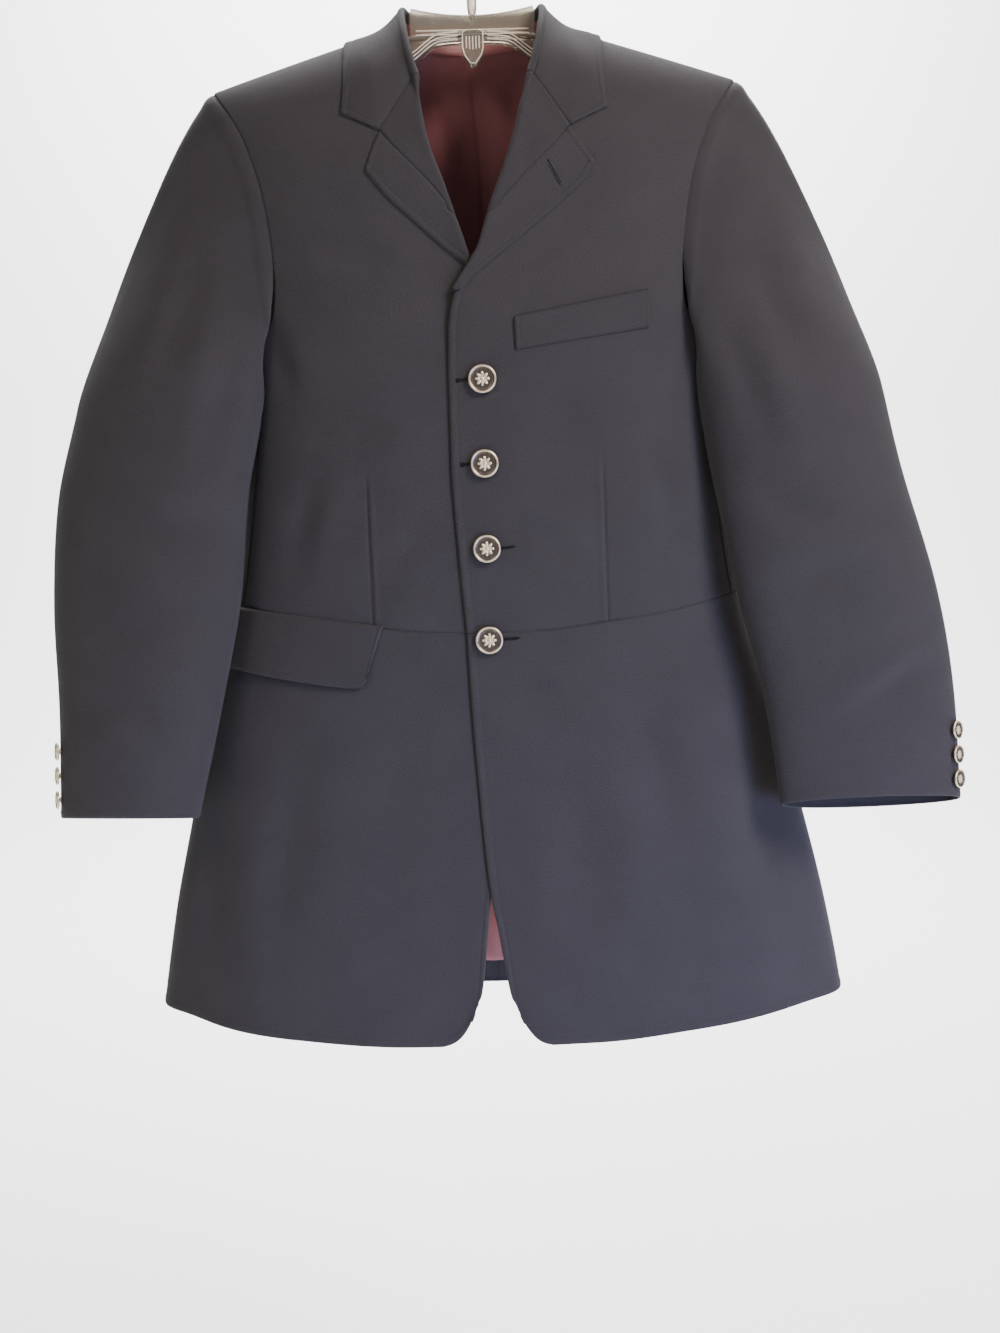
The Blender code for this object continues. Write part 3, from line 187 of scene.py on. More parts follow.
ARMHOLE_BACK = ((171.0, -322.0), (174.0, -285.0), (180.0, -240.0), (190.0, -198.0), (201.0, -169.0),
                SHOULDER_TIP)


def blend_weights(t):
    """Weights of the two ends and their slopes on a cubic between them."""
    return (1 + 2 * t) * (1 - t) ** 2, t * (1 - t) ** 2, t * t * (3 - 2 * t), t * t * (t - 1)


def smooth(table, key):
    """Other columns of a table at the keys, on a curve without overshoot."""
    rows = np.array(table, float)
    if rows[0, 0] > rows[-1, 0]:
        rows = rows[::-1]
    keys, vals = rows[:, 0], rows[:, 1:]
    step = np.diff(keys)
    rate = np.diff(vals, axis=0) / step[:, None]
    slope = np.zeros_like(vals)
    slope[0], slope[-1] = rate[0], rate[-1]
    same = rate[:-1] * rate[1:] > 0
    slope[1:-1] = np.where(same, 2.0 * rate[:-1] * rate[1:] / np.where(same, rate[:-1] + rate[1:], 1.0), 0.0)
    key = np.clip(np.asarray(key, float), keys[0], keys[-1])
    i = np.clip(np.searchsorted(keys, key, side="right") - 1, 0, len(keys) - 2)
    t = ((key - keys[i]) / step[i])[..., None]
    h = step[i][..., None]
    a, b, c, d = blend_weights(t)
    return a * vals[i] + b * h * slope[i] + c * vals[i + 1] + d * h * slope[i + 1]


def value_at(table, key):
    return float(smooth(table, key)[0])


def along_curve(points, share):
    """Points at shares of the way along a curve through the given ones."""
    pts = np.array(points, float)
    run = np.concatenate(([0.0], np.cumsum(np.linalg.norm(np.diff(pts, axis=0), axis=1))))
    at = np.clip(np.asarray(share, float), 0.0, 1.0) * run[-1]
    i = np.clip(np.searchsorted(run, at, side="right") - 1, 0, len(pts) - 2)
    t = ((at - run[i]) / (run[i + 1] - run[i]))[..., None]
    ends = np.concatenate((2 * pts[:1] - pts[1:2], pts, 2 * pts[-1:] - pts[-2:-1]))
    p0, p1, p2, p3 = ends[i], ends[i + 1], ends[i + 2], ends[i + 3]
    return 0.5 * (2 * p1 + (p2 - p0) * t + (2 * p0 - 5 * p1 + 4 * p2 - p3) * t ** 2
                  + (3 * p1 - 3 * p2 + p3 - p0) * t ** 3)


def unit(vectors):
    return vectors / np.maximum(np.linalg.norm(vectors, axis=-1, keepdims=True), 1e-9)


def ease(value, low, high):
    t = np.clip((np.asarray(value, float) - low) / (high - low), 0.0, 1.0)
    return t * t * (3 - 2 * t)


def drape(angle, z, side):
    """Flutes of the hanging skirt and a hollow under each shoulder, outward in mm."""
    low = ease(-z, 600.0, 900.0)
    flute = 3.4 * np.sin(np.radians(5.2 * angle + 20.0 * side)) + 2.2 * np.sin(np.radians(8.7 * angle + 75.0))
    hollow = -3.0 * np.exp(-((angle - 48.0) / 14.0) ** 2 - ((z + 265.0) / 60.0) ** 2)
    slim = -8.0 * low * ease(angle, 40.0, 90.0) * (1.0 - ease(angle, 110.0, 150.0)) if side < 0 else 0.0
    return low * flute * ease(angle, 4.0, 25.0) * ease(180.0 - angle, 2.0, 25.0) + hollow + slim


def body_point(angle, z, side=1, layer=0.0):
    """Skin of the body at an angle from the centre front, in degrees, and a height."""
    angle, z = np.broadcast_arrays(np.asarray(angle, float), np.asarray(z, float))
    half, front, back, power = np.moveaxis(smooth(BODY_SECTIONS, z), -1, 0)
    s, c = np.sin(np.radians(angle)), np.cos(np.radians(angle))
    x = np.copysign(np.abs(s) ** (2.0 / power), s) * half
    share = np.clip((shoulder_height(x) - z) / SHOULDER_ROUND, 0.0, 1.0)
    full = (1.0 - (1.0 - share) ** SHOULDER_POWER) ** (1.0 / SHOULDER_POWER)
    y = np.where(c > 0, -front, back) * np.abs(c) ** (2.0 / power) * full
    out = drape(np.abs(angle), z, side) + layer
    x = x + out * np.copysign(np.abs(s) ** 1.5, s)
    y = y - out * np.copysign(np.abs(c) ** 0.8, c)
    return np.stack((x * side, y, z), axis=-1)


def angle_of(x, z, back=False):
    half, _, _, power = np.moveaxis(smooth(BODY_SECTIONS, z), -1, 0)
    angle = np.degrees(np.arcsin(np.minimum(np.abs(x) / half, 1.0) ** (power / 2.0)))
    angle = np.copysign(angle, x)
    return 180.0 - angle if back else angle


def by_angle(points, back=False):
    return [(angle_of(x, z, back), z) for x, z in points]


def x_at(angle, z):
    """How far to its side the body reaches at an angle and a height."""
    half, _, _, power = np.moveaxis(smooth(BODY_SECTIONS, z), -1, 0)
    s = np.sin(np.radians(angle))
    return np.copysign(np.abs(s) ** (2.0 / power), s) * half


def lap_at(angle, z, side):
    """The left front stands proud where it laps over, the right one sinks under it."""
    x = x_at(angle, z)
    bulge = np.exp(-((z + 305.0) / 45.0) ** 2)
    over = (1.3 + 1.3 * bulge) * (1.0 - ease(x, 25.0, 75.0))
    under = -(1.4 + 2.6 * bulge) * (1.0 - ease(x, 27.0, 80.0))
    return np.where(angle < 90.0, over if side > 0 else under, 0.0)


def seam_through(points):
    pts = [tuple(float(c) for c in p) for p in points]
    return lambda t: along_curve(pts, t)


def stacked(first, second, split):
    """Two seam lines, one after the other."""
    return lambda t: np.where((t < split)[..., None], first(t / split), second((t - split) / (1.0 - split)))


def ring_seam(table, start, end):
    def at(t):
        angle = start + (end - start) * t
        return np.stack((angle, smooth(table, angle)[..., 0]), axis=-1)
    return at


def rising_seam(table, low, high):
    def at(t):
        z = low + (high - low) * t
        return np.stack((smooth(table, z)[..., 0], z), axis=-1)
    return at


def shoulder_seam(back=False):
    def at(t):
        x = NECK_POINT[0] + (SHOULDER_TIP_X - NECK_POINT[0]) * t
        z = shoulder_height(x)
        return np.stack((angle_of(x, z, back), z), axis=-1)
    return at


def spread(length, step):
    """Shares from 0 to 1, about step mm apart, closer beside both edges."""
    close = np.array([0.0, 0.35, 0.8, 1.3, 1.9, 2.6, 3.4, 4.4, 5.4, 6.2, 7.0, 8.2, 10.0, 12.5])
    count = max(int((length - 2 * close[-1]) / step), 1)
    middle = np.linspace(close[-1], length - close[-1], count + 1)
    return np.unique(np.concatenate((close, middle, length - close))) / length


def lapped(angle, z, side):
    return body_point(angle, z, side, lap_at(angle, z, side))


def skin_frame(angle, z, side):
    """Point of the skin and its outward normal."""
    here = lapped(angle, z, side)
    normal = side * np.cross(lapped(angle + 0.4, z, side) - lapped(angle - 0.4, z, side),
                             here - lapped(angle, z - 0.05, side))
    return here, unit(normal)


def cut_panel(foot, head, inner, outer, us, vs, side):
    """Skin of a panel between four seams, on shares across and up it."""
    low, high, left, right = foot(us), head(us), inner(vs), outer(vs)
    u, v = us[None, :, None], vs[:, None, None]
    corners = (1 - u) * (1 - v) * low[0] + u * (1 - v) * low[-1] + (1 - u) * v * high[0] + u * v * high[-1]
    spots = (1 - v) * low[None] + v * high[None] + (1 - u) * left[:, None] + u * right[:, None] - corners
    return lapped(spots[..., 0], spots[..., 1], side)


def normals_of(skin, out):
    across = np.gradient(skin, axis=1)
    up = np.gradient(skin, axis=0)
    return unit(np.cross(across, up) * out)


def runs(skin):
    """Lengths along the rows and up the columns of a skin, in mm."""
    across = np.cumsum(np.linalg.norm(np.diff(skin, axis=1), axis=-1), axis=1)
    up = np.cumsum(np.linalg.norm(np.diff(skin, axis=0), axis=-1), axis=0)
    return np.pad(across, ((0, 0), (1, 0))), np.pad(up, ((1, 0), (0, 0)))


def from_edges(skin):
    """Distance of each point from the foot, head, inner and outer edge."""
    across, up = runs(skin)
    return {"foot": up, "head": up[-1:] - up, "inner": across, "outer": across[:, -1:] - across}


def seam_roll(distance, depth=0.9, width=0.9):
    return -depth * np.exp(-(distance / width) ** 2)


def turned_edge(distance, line=6.0):
    """A faced edge: rounded over, full up to its stitching, with a faint groove there."""
    rim = -0.75 * np.exp(-(distance / 0.6) ** 2)
    full = 0.42 * np.exp(-((distance - line * 0.5) / (line * 0.33)) ** 2)
    return rim + full - 0.34 * np.exp(-((distance - line) / 0.8) ** 2)


def fold_line(skin, points, width, depth, front=True, lean=1.0):
    """One soft trough laid through points of x and z, deepest at its middle, with a ridge beside it."""
    line = along_curve(points, np.linspace(0.0, 1.0, 14))
    x, z = skin[..., 0], skin[..., 2]
    nearest = np.full(x.shape, 1e9)
    share = np.zeros(x.shape)
    offset = np.zeros(x.shape)
    for k, (a, b) in enumerate(zip(line[:-1], line[1:])):
        ab = b - a
        t = np.clip(((x - a[0]) * ab[0] + (z - a[1]) * ab[1]) / (ab @ ab), 0.0, 1.0)
        dx, dz = x - a[0] - t * ab[0], z - a[1] - t * ab[1]
        gap = np.hypot(dx, dz)
        closer = gap < nearest
        nearest = np.where(closer, gap, nearest)
        share = np.where(closer, (k + t) / (len(line) - 1), share)
        offset = np.where(closer, np.copysign(gap, ab[0] * dz - ab[1] * dx), offset)
    fade = np.clip(np.sin(np.pi * np.clip(share, 0.0, 1.0)), 0.0, 1.0) ** 1.4
    trough = -depth * np.exp(-(nearest / width) ** 2)
    swell = 0.5 * depth * np.exp(-((offset * lean - 1.7 * width) / (1.15 * width)) ** 2)
    facing = ease(-skin[..., 1] if front else skin[..., 1], -30.0, 0.0)
    return (trough + swell) * fade * facing


def creased(relief, skin, folds, scale=1.0, front=True):
    for points, width, depth in folds:
        relief = relief + fold_line(skin, points, width, scale * depth, front)
    return relief


def fixed(piece, node=None):
    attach(piece, "root")
    if node:
        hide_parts(node)


sewn = {}
UNDERLAP = 1.1


def sew(name, skin, relief, mat, out, thick=1.8, turned=(), node=None):
    """Closed cloth piece on a skin of points: face, back and a rim, with the weave laid along it."""
    rows, cols = skin.shape[:2]
    face = skin + normals_of(skin, out) * relief[..., None]
    normal = normals_of(face, out)
    inside = face - normal * thick
    across, up = runs(skin)
    for edge, here, next_in in (("foot", (0, slice(None)), (1, slice(None))),
                                ("head", (-1, slice(None)), (-2, slice(None))),
                                ("inner", (slice(None), 0), (slice(None), 1)),
                                ("outer", (slice(None), -1), (slice(None), -2))):
        if edge not in turned:
            inside[here] = inside[here] + unit(skin[here] - skin[next_in]) * UNDERLAP
    rim = ([(0, i) for i in range(cols - 1)] + [(j, cols - 1) for j in range(rows - 1)]
           + [(rows - 1, i) for i in range(cols - 1, 0, -1)] + [(j, 0) for j in range(rows - 1, 0, -1)])
    rj, ri = np.array(rim).T
    away = unit(skin[rj, ri] - skin[np.clip(rj, 1, rows - 2), np.clip(ri, 1, cols - 2)])
    round_off = np.zeros(len(rim))
    on_edge = {"foot": rj == 0, "head": rj == rows - 1, "inner": ri == 0, "outer": ri == cols - 1}
    for edge in turned:
        round_off[on_edge[edge]] = 0.4 * thick
    middle = (face[rj, ri] + inside[rj, ri]) / 2 + away * round_off[:, None]
    count = rows * cols
    verts = np.concatenate((face.reshape(-1, 3), inside.reshape(-1, 3), middle)) * MM
    j, i = np.meshgrid(np.arange(rows - 1), np.arange(cols - 1), indexing="ij")
    a = (j * cols + i).ravel()
    quad = np.stack((a, a + 1, a + cols + 1, a + cols), axis=1)
    if out < 0:
        quad = quad[:, ::-1]
    faces = [quad, quad[:, ::-1] + count]
    edge_face = rj * cols + ri
    edge_mid = 2 * count + np.arange(len(rim))
    nxt_face, nxt_mid = np.roll(edge_face, -1), np.roll(edge_mid, -1)
    strips = [np.stack((edge_face, edge_mid, nxt_mid, nxt_face), axis=1),
              np.stack((edge_mid, edge_face + count, nxt_face + count, nxt_mid), axis=1)]
    faces += strips if out > 0 else [strip[:, ::-1] for strip in strips]
    faces = np.concatenate(faces)
    mesh = bpy.data.meshes.new(name)
    mesh.from_pydata(verts.tolist(), [], faces.tolist())
    spots = np.stack((across, up), axis=-1).reshape(-1, 2) * MM
    spots = np.concatenate((spots, spots, spots[edge_face]))
    weave = mesh.uv_layers.new(name="cloth")
    weave.data.foreach_set("uv", spots[faces.ravel()].ravel().astype(np.float32))
    mesh.polygons.foreach_set("use_smooth", np.ones(len(mesh.polygons), bool))
    mesh.materials.append(mat)
    mesh.update()
    piece = placed(name, mesh)
    sewn[name] = dict(face=face, normal=normal, across=across, up=up)
    fixed(piece, node)


def added(tree, kind, inputs=None, **settings):
    node = tree.nodes.new(kind)
    for name, value in settings.items():
        setattr(node, name, value)
    feed(tree, node, inputs or {})
    return node


def new_group(name, kind, inputs, outputs):
    """Node group with its named sockets; an input is a name, a kind of socket and a value."""
    tree = bpy.data.node_groups.new(name, kind)
    for label, socket, value in inputs:
        item = tree.interface.new_socket(label, in_out="INPUT", socket_type="NodeSocket" + socket)
        if value is not None:
            item.default_value = value
    for label, socket in outputs:
        tree.interface.new_socket(label, in_out="OUTPUT", socket_type="NodeSocket" + socket)
    return tree, tree.nodes.new("NodeGroupInput").outputs


def twill_weave():
    """Group: diagonal ribs of the twill, the fuzz of its nap and slow changes of tone."""
    tree, given = new_group(
        "twill weave", "ShaderNodeTree",
        (("Cloth", "Vector", None), ("Pitch", "Float", 0.0010), ("Rib", "Float", 1.0), ("Nap", "Float", 1.0)),
        (("Tone", "Float"), ("Height", "Float"), ("Dullness", "Float")))

    def math_node(kind, *values):
        return added(tree, "ShaderNodeMath", dict(enumerate(values)), operation=kind).outputs[0]

    def noise(scale, detail, roughness=0.6):
        return added(tree, "ShaderNodeTexNoise", {"Vector": given["Cloth"], "Scale": scale, "Detail": detail,
                                                  "Roughness": roughness}).outputs[0]

    apart = added(tree, "ShaderNodeSeparateXYZ", {0: given["Cloth"]}).outputs
    slant = math_node("ADD", apart[0], math_node("MULTIPLY", apart[1], 0.8))
    wander = math_node("MULTIPLY", noise(120.0, 2.0), 0.0016)
    turns = math_node("DIVIDE", math_node("ADD", slant, wander), given["Pitch"])
    rib = math_node("SINE", math_node("MULTIPLY", turns, 2.0 * math.pi))
    rib = math_node("MULTIPLY", rib, given["Rib"])
    fuzz = math_node("SUBTRACT", noise(820.0, 3.0, 0.7), 0.5)
    fuzz = math_node("MULTIPLY", fuzz, given["Nap"])
    slow = math_node("SUBTRACT", noise(22.0, 3.0, 0.55), 0.5)
    tone = math_node("ADD", math_node("MULTIPLY", rib, 0.09), math_node("MULTIPLY", fuzz, 1.7))
    added(tree, "NodeGroupOutput", {
        "Tone": math_node("ADD", math_node("ADD", tone, math_node("MULTIPLY", slow, 0.35)), 0.5),
        "Height": math_node("ADD", math_node("MULTIPLY", rib, 0.5), math_node("MULTIPLY", fuzz, 1.6)),
        "Dullness": math_node("ADD", 0.86, math_node("MULTIPLY", fuzz, 0.25))})
    return tree


twill_group = twill_weave()


def two_tones(tree, factor, dark, light):
    """Colour that a factor takes from a dark tone to a light one."""
    return added(tree, "ShaderNodeMix", {"Factor": factor, "A": (*dark, 1.0), "B": (*light, 1.0)},
                 data_type="RGBA").outputs["Result"]


def fine_bump(tree, height, strength, distance):
    return added(tree, "ShaderNodeBump", {"Height": height, "Strength": strength,
                                          "Distance": distance}).outputs[0]


def woven(tree, values):
    """Twill laid along the piece's own cloth coordinates."""
    laid = added(tree, "ShaderNodeUVMap", uv_map="cloth").outputs[0]
    return added(tree, "ShaderNodeGroup", {"Cloth": laid, **values}, node_tree=twill_group).outputs


def wool_cloth(tree):
    """Charcoal twill with a short nap that catches light at the edges of folds."""
    weave = woven(tree, {})
    return {"Base Color": two_tones(tree, weave["Tone"], (0.0180, 0.0160, 0.0165), (0.050, 0.0445, 0.0465)),
            "Roughness": weave["Dullness"],
            "Normal": fine_bump(tree, weave["Height"], 0.55, 0.0004),
            "Sheen Weight": 0.07, "Sheen Roughness": 0.5, "Sheen Tint": (0.75, 0.74, 0.80, 1.0),
            "Specular IOR Level": 0.18}


wool = surface("charcoal wool twill", wool_cloth)

armhole_front = seam_through(by_angle(ARMHOLE_FRONT) + [ARMHOLE_UNDER[0]])
armhole_under = seam_through(ARMHOLE_UNDER)
armhole_back = seam_through([ARMHOLE_UNDER[-1]] + by_angle(ARMHOLE_BACK, True))

# x at the top and foot of each dart with its heights, towards its own side
DART_LEFT = ((95.5, -441.0), (98.0, -586.0))
DART_RIGHT = ((94.5, -452.0), (93.0, -585.0))


def opening_table(side):
    edge, rolled = (FRONT_EDGE_OVER, ROLL_OVER) if side > 0 else (FRONT_EDGE_UNDER, ROLL_UNDER)
    return [(z, float(angle_of(x, z))) for x, z in edge + rolled[1:] + NECK_FRONT]


def dart(skin, side):
    """Pressed fold that takes the waist in, a fine step that dies out at its top."""
    (x_top, z_top), (x_foot, z_foot) = DART_LEFT if side > 0 else DART_RIGHT
    t = np.clip((skin[..., 2] - z_foot) / (z_top - z_foot), 0.0, 1.0)
    off = skin[..., 0] * side - (x_foot + (x_top - x_foot) * t)
    strength = ease(1.0 - t, 0.0, 0.25) * ease(skin[..., 2], z_foot - 30.0, z_foot) * (skin[..., 1] < 0)
    strength = strength * (skin[..., 2] < z_top)
    return strength * (-1.5 * np.exp(-(off / 0.9) ** 2) + 0.55 * np.exp(-((off + 3.4) / 2.2) ** 2)
                       - 1.2 * np.exp(-(off / 18.0) ** 2))


# Points of x and z, width and depth of each soft crease of a front, towards the viewer's axes
BODICE_FOLDS = {
    1: ((((60.0, -300.0), (110.0, -280.0), (150.0, -262.0)), 11.0, 1.2),
        (((12.0, -420.0), (50.0, -412.0), (96.0, -420.0)), 9.0, 1.0),
        (((14.0, -500.0), (48.0, -516.0), (88.0, -540.0)), 10.0, 1.2),
        (((130.0, -430.0), (150.0, -480.0), (160.0, -545.0)), 12.0, 1.6),
        (((172.0, -330.0), (160.0, -375.0), (150.0, -415.0)), 10.0, 1.5)),
    -1: ((((-60.0, -300.0), (-105.0, -285.0), (-150.0, -272.0)), 12.0, 1.2),
         (((-30.0, -395.0), (-70.0, -410.0), (-110.0, -432.0)), 12.0, 1.1),
         (((-34.0, -500.0), (-62.0, -520.0), (-90.0, -548.0)), 10.0, 1.1),
         (((-126.0, -440.0), (-146.0, -490.0), (-158.0, -550.0)), 12.0, 1.6),
         (((-170.0, -328.0), (-160.0, -372.0), (-150.0, -410.0)), 10.0, 1.4)),
}


BODICE_LONG = 487.5
NEAR_SHOULDER = (0.0, 0.25, 0.7, 1.3, 2.1, 3.1, 4.4, 6.0, 8.0, 10.5, 13.5, 17.0, 21.0, 25.5, 30.5)


def bodice(side, word):
    table = opening_table(side)
    opening = rising_seam(table, table[0][0], table[-1][0])
    start = table[0][1]
    side_seam = rising_seam(SIDE_FRONT_SEAM, value_at(WAIST_SEAM, FRONT_SEAM_ANGLE), ARMPIT_Z)
    outer = stacked(side_seam, lambda t: armhole_front(1.0 - t), 1.0 - 287.5 / BODICE_LONG)
    lower = np.linspace(34.0, BODICE_LONG - 8.0, 118)
    near_waist = BODICE_LONG - np.array([6.0, 4.4, 3.0, 2.0, 1.2, 0.5, 0.0])
    drops = np.concatenate((NEAR_SHOULDER, lower, near_waist))
    shares = 1.0 - drops[::-1] / BODICE_LONG
    skin = cut_panel(ring_seam(WAIST_SEAM, start, FRONT_SEAM_ANGLE), shoulder_seam(), opening, outer,
                     spread(225.0, 1.15), shares, side)
    near = from_edges(skin)
    relief = (seam_roll(near["foot"]) + seam_roll(near["head"], 0.7) + seam_roll(near["outer"], 0.9)
              + turned_edge(near["inner"]) * (skin[..., 2] < -300.0) + dart(skin, side))
    relief = creased(relief, skin, BODICE_FOLDS[side], 1.5)
    sew("front_" + word, skin, relief, wool, side, turned=("inner",), node="bodice_" + word)


for side, word in SIDES:
    bodice(side, word)


# Skirts of the coat: one piece a side from the waist seam to the hem, round to the seam
# behind, with rounded corners at the opening. The hem is turned up 40 mm and felled, and
# the heavy cloth hangs from the waist in shallow flutes.

SKIRT_EDGE_OVER = ((20.5, -911.0), (15.0, -898.0), (9.5, -882.0), (-2.6, -810.0), (-10.0, -726.0),
                   (-15.0, -643.0), (-17.0, -590.0))
SKIRT_CORNER_OVER = ((20.5, -911.0), (25.0, -919.0), (30.5, -926.0), (37.0, -930.8), (45.0, -933.1))
SKIRT_EDGE_UNDER = ((21.0, -909.0), (16.5, -897.0), (11.5, -882.0), (3.4, -810.0), (-9.0, -700.0),
                    (-16.5, -645.0), (-18.0, -590.0))
SKIRT_CORNER_UNDER = ((21.0, -909.0), (25.5, -918.5), (31.5, -926.3), (38.5, -931.0), (46.0, -933.1))
SKIRT_FOLDS = {
    1: ((((120.0, -600.0), (136.0, -700.0), (150.0, -830.0)), 20.0, 2.4),
        (((60.0, -640.0), (70.0, -760.0), (84.0, -880.0)), 22.0, 1.6),
        (((205.0, -640.0), (226.0, -740.0), (240.0, -850.0)), 18.0, 2.6),
        (((14.0, -620.0), (44.0, -640.0), (80.0, -650.0)), 12.0, 1.0)),
    -1: ((((-70.0, -650.0), (-82.0, -760.0), (-92.0, -880.0)), 22.0, 1.6),
         (((-150.0, -660.0), (-170.0, -760.0), (-186.0, -870.0)), 20.0, 2.2),
         (((-216.0, -690.0), (-232.0, -780.0), (-246.0, -880.0)), 16.0, 2.0)),
}


def skirt(side, word):
    edge = SKIRT_EDGE_OVER if side > 0 else SKIRT_EDGE_UNDER
    corner = SKIRT_CORNER_OVER if side > 0 else SKIRT_CORNER_UNDER
    front = seam_through(by_angle(edge))
    corner_end = float(angle_of(*corner[-1]))
    hem_back = value_at(SIDE_BACK_SEAM, -921.0)
    hem = stacked(seam_through(by_angle(corner)), ring_seam(HEM, corner_end, hem_back), 0.12)
    top_back = value_at(SIDE_BACK_SEAM, -560.0)
    waist = ring_seam(WAIST_SEAM, float(angle_of(*edge[-1])), top_back)
    back_seam = rising_seam(SIDE_BACK_SEAM, value_at(HEM, hem_back), value_at(WAIST_SEAM, top_back))
    skin = cut_panel(hem, waist, front, back_seam, spread(360.0, 3.4), spread(365.0, 3.6), side)
    near = from_edges(skin)
    relief = (turned_edge(near["foot"], 9.0) * 0.8 + seam_roll(near["head"]) + turned_edge(near["inner"])
              + seam_roll(near["outer"], 0.8))
    relief = creased(relief, skin, SKIRT_FOLDS[side], 1.4)
    sew("skirt_" + word + "_cloth", skin, relief, wool, side, turned=("foot", "inner"), node="skirt_" + word)


for side, word in SIDES:
    skirt(side, word)


# Side panels: the narrow pieces under the arms that join front to back above the waist.
# Their head is the bottom of the armhole, so they mostly lie in the shade of the sleeves.

def side_panel(side, word):
    waist_z = value_at(WAIST_SEAM, FRONT_SEAM_ANGLE)
    back_z = value_at(WAIST_SEAM, BACK_SEAM_ANGLE)
    skin = cut_panel(ring_seam(WAIST_SEAM, FRONT_SEAM_ANGLE, BACK_SEAM_ANGLE), armhole_under,
                     rising_seam(SIDE_FRONT_SEAM, waist_z, ARMPIT_Z),
                     rising_seam(SIDE_BACK_SEAM, back_z, ARMPIT_Z),
                     spread(110.0, 4.0), spread(205.0, 5.0), side)
    near = from_edges(skin)
    relief = sum(seam_roll(near[edge], 0.8) for edge in near)
    crease = ((190.0 * side, -420.0), (186.0 * side, -480.0), (196.0 * side, -545.0))
    relief = relief + fold_line(skin, crease, 12.0, 1.4)
    sew("side_" + word, skin, relief, wool, side, node="side_panel_" + word)


for side, word in SIDES:
    side_panel(side, word)


# Back: two long panels from shoulder to hem, joined down the middle. They hang straight
# from the shoulder blades, so they carry a few long soft folds and a shallow waist.

BACK_LONG = 828.0
NECK_BACK = ((0.0, -108.0), (34.0, -106.5), (58.0, -104.5))
BACK_FOLDS = ((((62.0, -230.0), (70.0, -330.0), (64.0, -430.0)), 20.0, 1.0),
              (((130.0, -250.0), (118.0, -340.0), (112.0, -430.0)), 16.0, 1.1),
              (((40.0, -600.0), (52.0, -720.0), (60.0, -860.0)), 24.0, -2.2),
              (((128.0, -610.0), (146.0, -730.0), (160.0, -870.0)), 22.0, -2.4),
              (((20.0, -180.0), (70.0, -172.0), (120.0, -186.0)), 14.0, 0.8))


def back_skin(side, us, vs):
    hem_side = value_at(SIDE_BACK_SEAM, -921.0)
    waist_z = value_at(WAIST_SEAM, BACK_SEAM_ANGLE)
    armpit, waist = 1.0 - 337.5 / BACK_LONG, 1.0 - 537.5 / BACK_LONG
    below = stacked(rising_seam(SIDE_BACK_SEAM, value_at(HEM, hem_side), waist_z),
                    rising_seam(SIDE_BACK_SEAM, waist_z, ARMPIT_Z), waist / armpit)
    outer = stacked(below, armhole_back, armpit)
    neck = seam_through(by_angle(NECK_BACK + (NECK_POINT,), True))
    centre = rising_seam(((-940.0, 180.0), (-108.0, 180.0)), -932.0, -108.0)
    return cut_panel(ring_seam(HEM, 180.0, hem_side), stacked(neck, shoulder_seam(True), 0.4), centre, outer,
                     us, vs, side)


def back(side, word):
    drops = np.concatenate((NEAR_SHOULDER, np.linspace(36.0, 815.0, 150),
                            BACK_LONG - np.array([10.0, 7.0, 5.0, 3.4, 2.2, 1.2, 0.5, 0.0])))
    skin = back_skin(side, spread(235.0, 4.2), 1.0 - drops[::-1] / BACK_LONG)
    near = from_edges(skin)
    relief = (turned_edge(near["foot"], 9.0) * 0.8 + seam_roll(near["inner"], 0.8)
              + seam_roll(near["outer"], 0.8) + seam_roll(near["head"], 0.6))
    for points, width, depth in BACK_FOLDS:
        relief = relief + fold_line(skin, [(x * side, z) for x, z in points], width, depth, front=False,
                                    lean=float(side))
    sew("back_" + word + "_cloth", skin, relief, wool, -side, turned=("foot",), node="back_" + word)


for side, word in SIDES:
    back(side, word)


# Sleeves: a wide top piece and a narrow under piece a side, eased into the armhole so that
# the head stands a little fuller than the shoulder. They hang forward and bend softly at
# the elbow. The cuff is turned in and opens in a short vent under its three buttons.

# z, centre x, centre y, half length, half depth, turn in degrees
SLEEVE_LEFT = (
    (-400.0, 254.0, -25.0, 85.0, 46.0, 20.0),
    (-464.0, 266.0, -36.0, 83.5, 41.0, 15.0),
    (-560.0, 288.5, -52.0, 83.5, 31.0, 9.0),
    (-650.0, 304.5, -60.0, 80.0, 26.0, 6.0),
    (-739.0, 312.5, -66.0, 75.0, 22.0, 3.0),
)
SLEEVE_RIGHT = (
    (-400.0, 257.0, -26.0, 85.0, 47.0, 20.0),
    (-478.0, 274.0, -38.0, 83.0, 44.0, 15.0),
    (-560.0, 281.5, -50.0, 78.0, 39.0, 10.0),
    (-640.0, 287.5, -58.0, 69.0, 38.0, 8.0),
    (-737.0, 300.0, -64.0, 57.5, 38.0, 6.0),
)
CUFF_SLANT = 9.0
FOREARM_SEAM, HINDARM_TOP, HINDARM_CUFF = 160.0, -62.0, -13.0
SLEEVE_TWIST = ((0.0, 0.0), (90.0, 94.0), (130.0, 150.0), (158.0, 184.0), (182.0, 220.0), (205.0, 242.0),
                (240.0, 264.0), (280.0, 289.0), (360.0, 360.0))
LOWER_LEAVE = (
    (90.0, 0.85, -0.5, -0.2),
    (120.0, 0.5, -0.7, -0.5),
    (145.0, 0.25, -0.6, -0.75),
    (165.0, 0.5, -0.35, -0.6),
    (182.0, 0.85, -0.1, -0.3),
    (200.0, 0.6, 0.2, -0.6),
    (218.0, 0.4, 0.5, -0.75),
    (245.0, 0.75, 0.6, -0.35),
    (270.0, 0.85, 0.5, -0.2),
)
SLEEVES = ((1, "left", SLEEVE_LEFT), (-1, "right", SLEEVE_RIGHT))
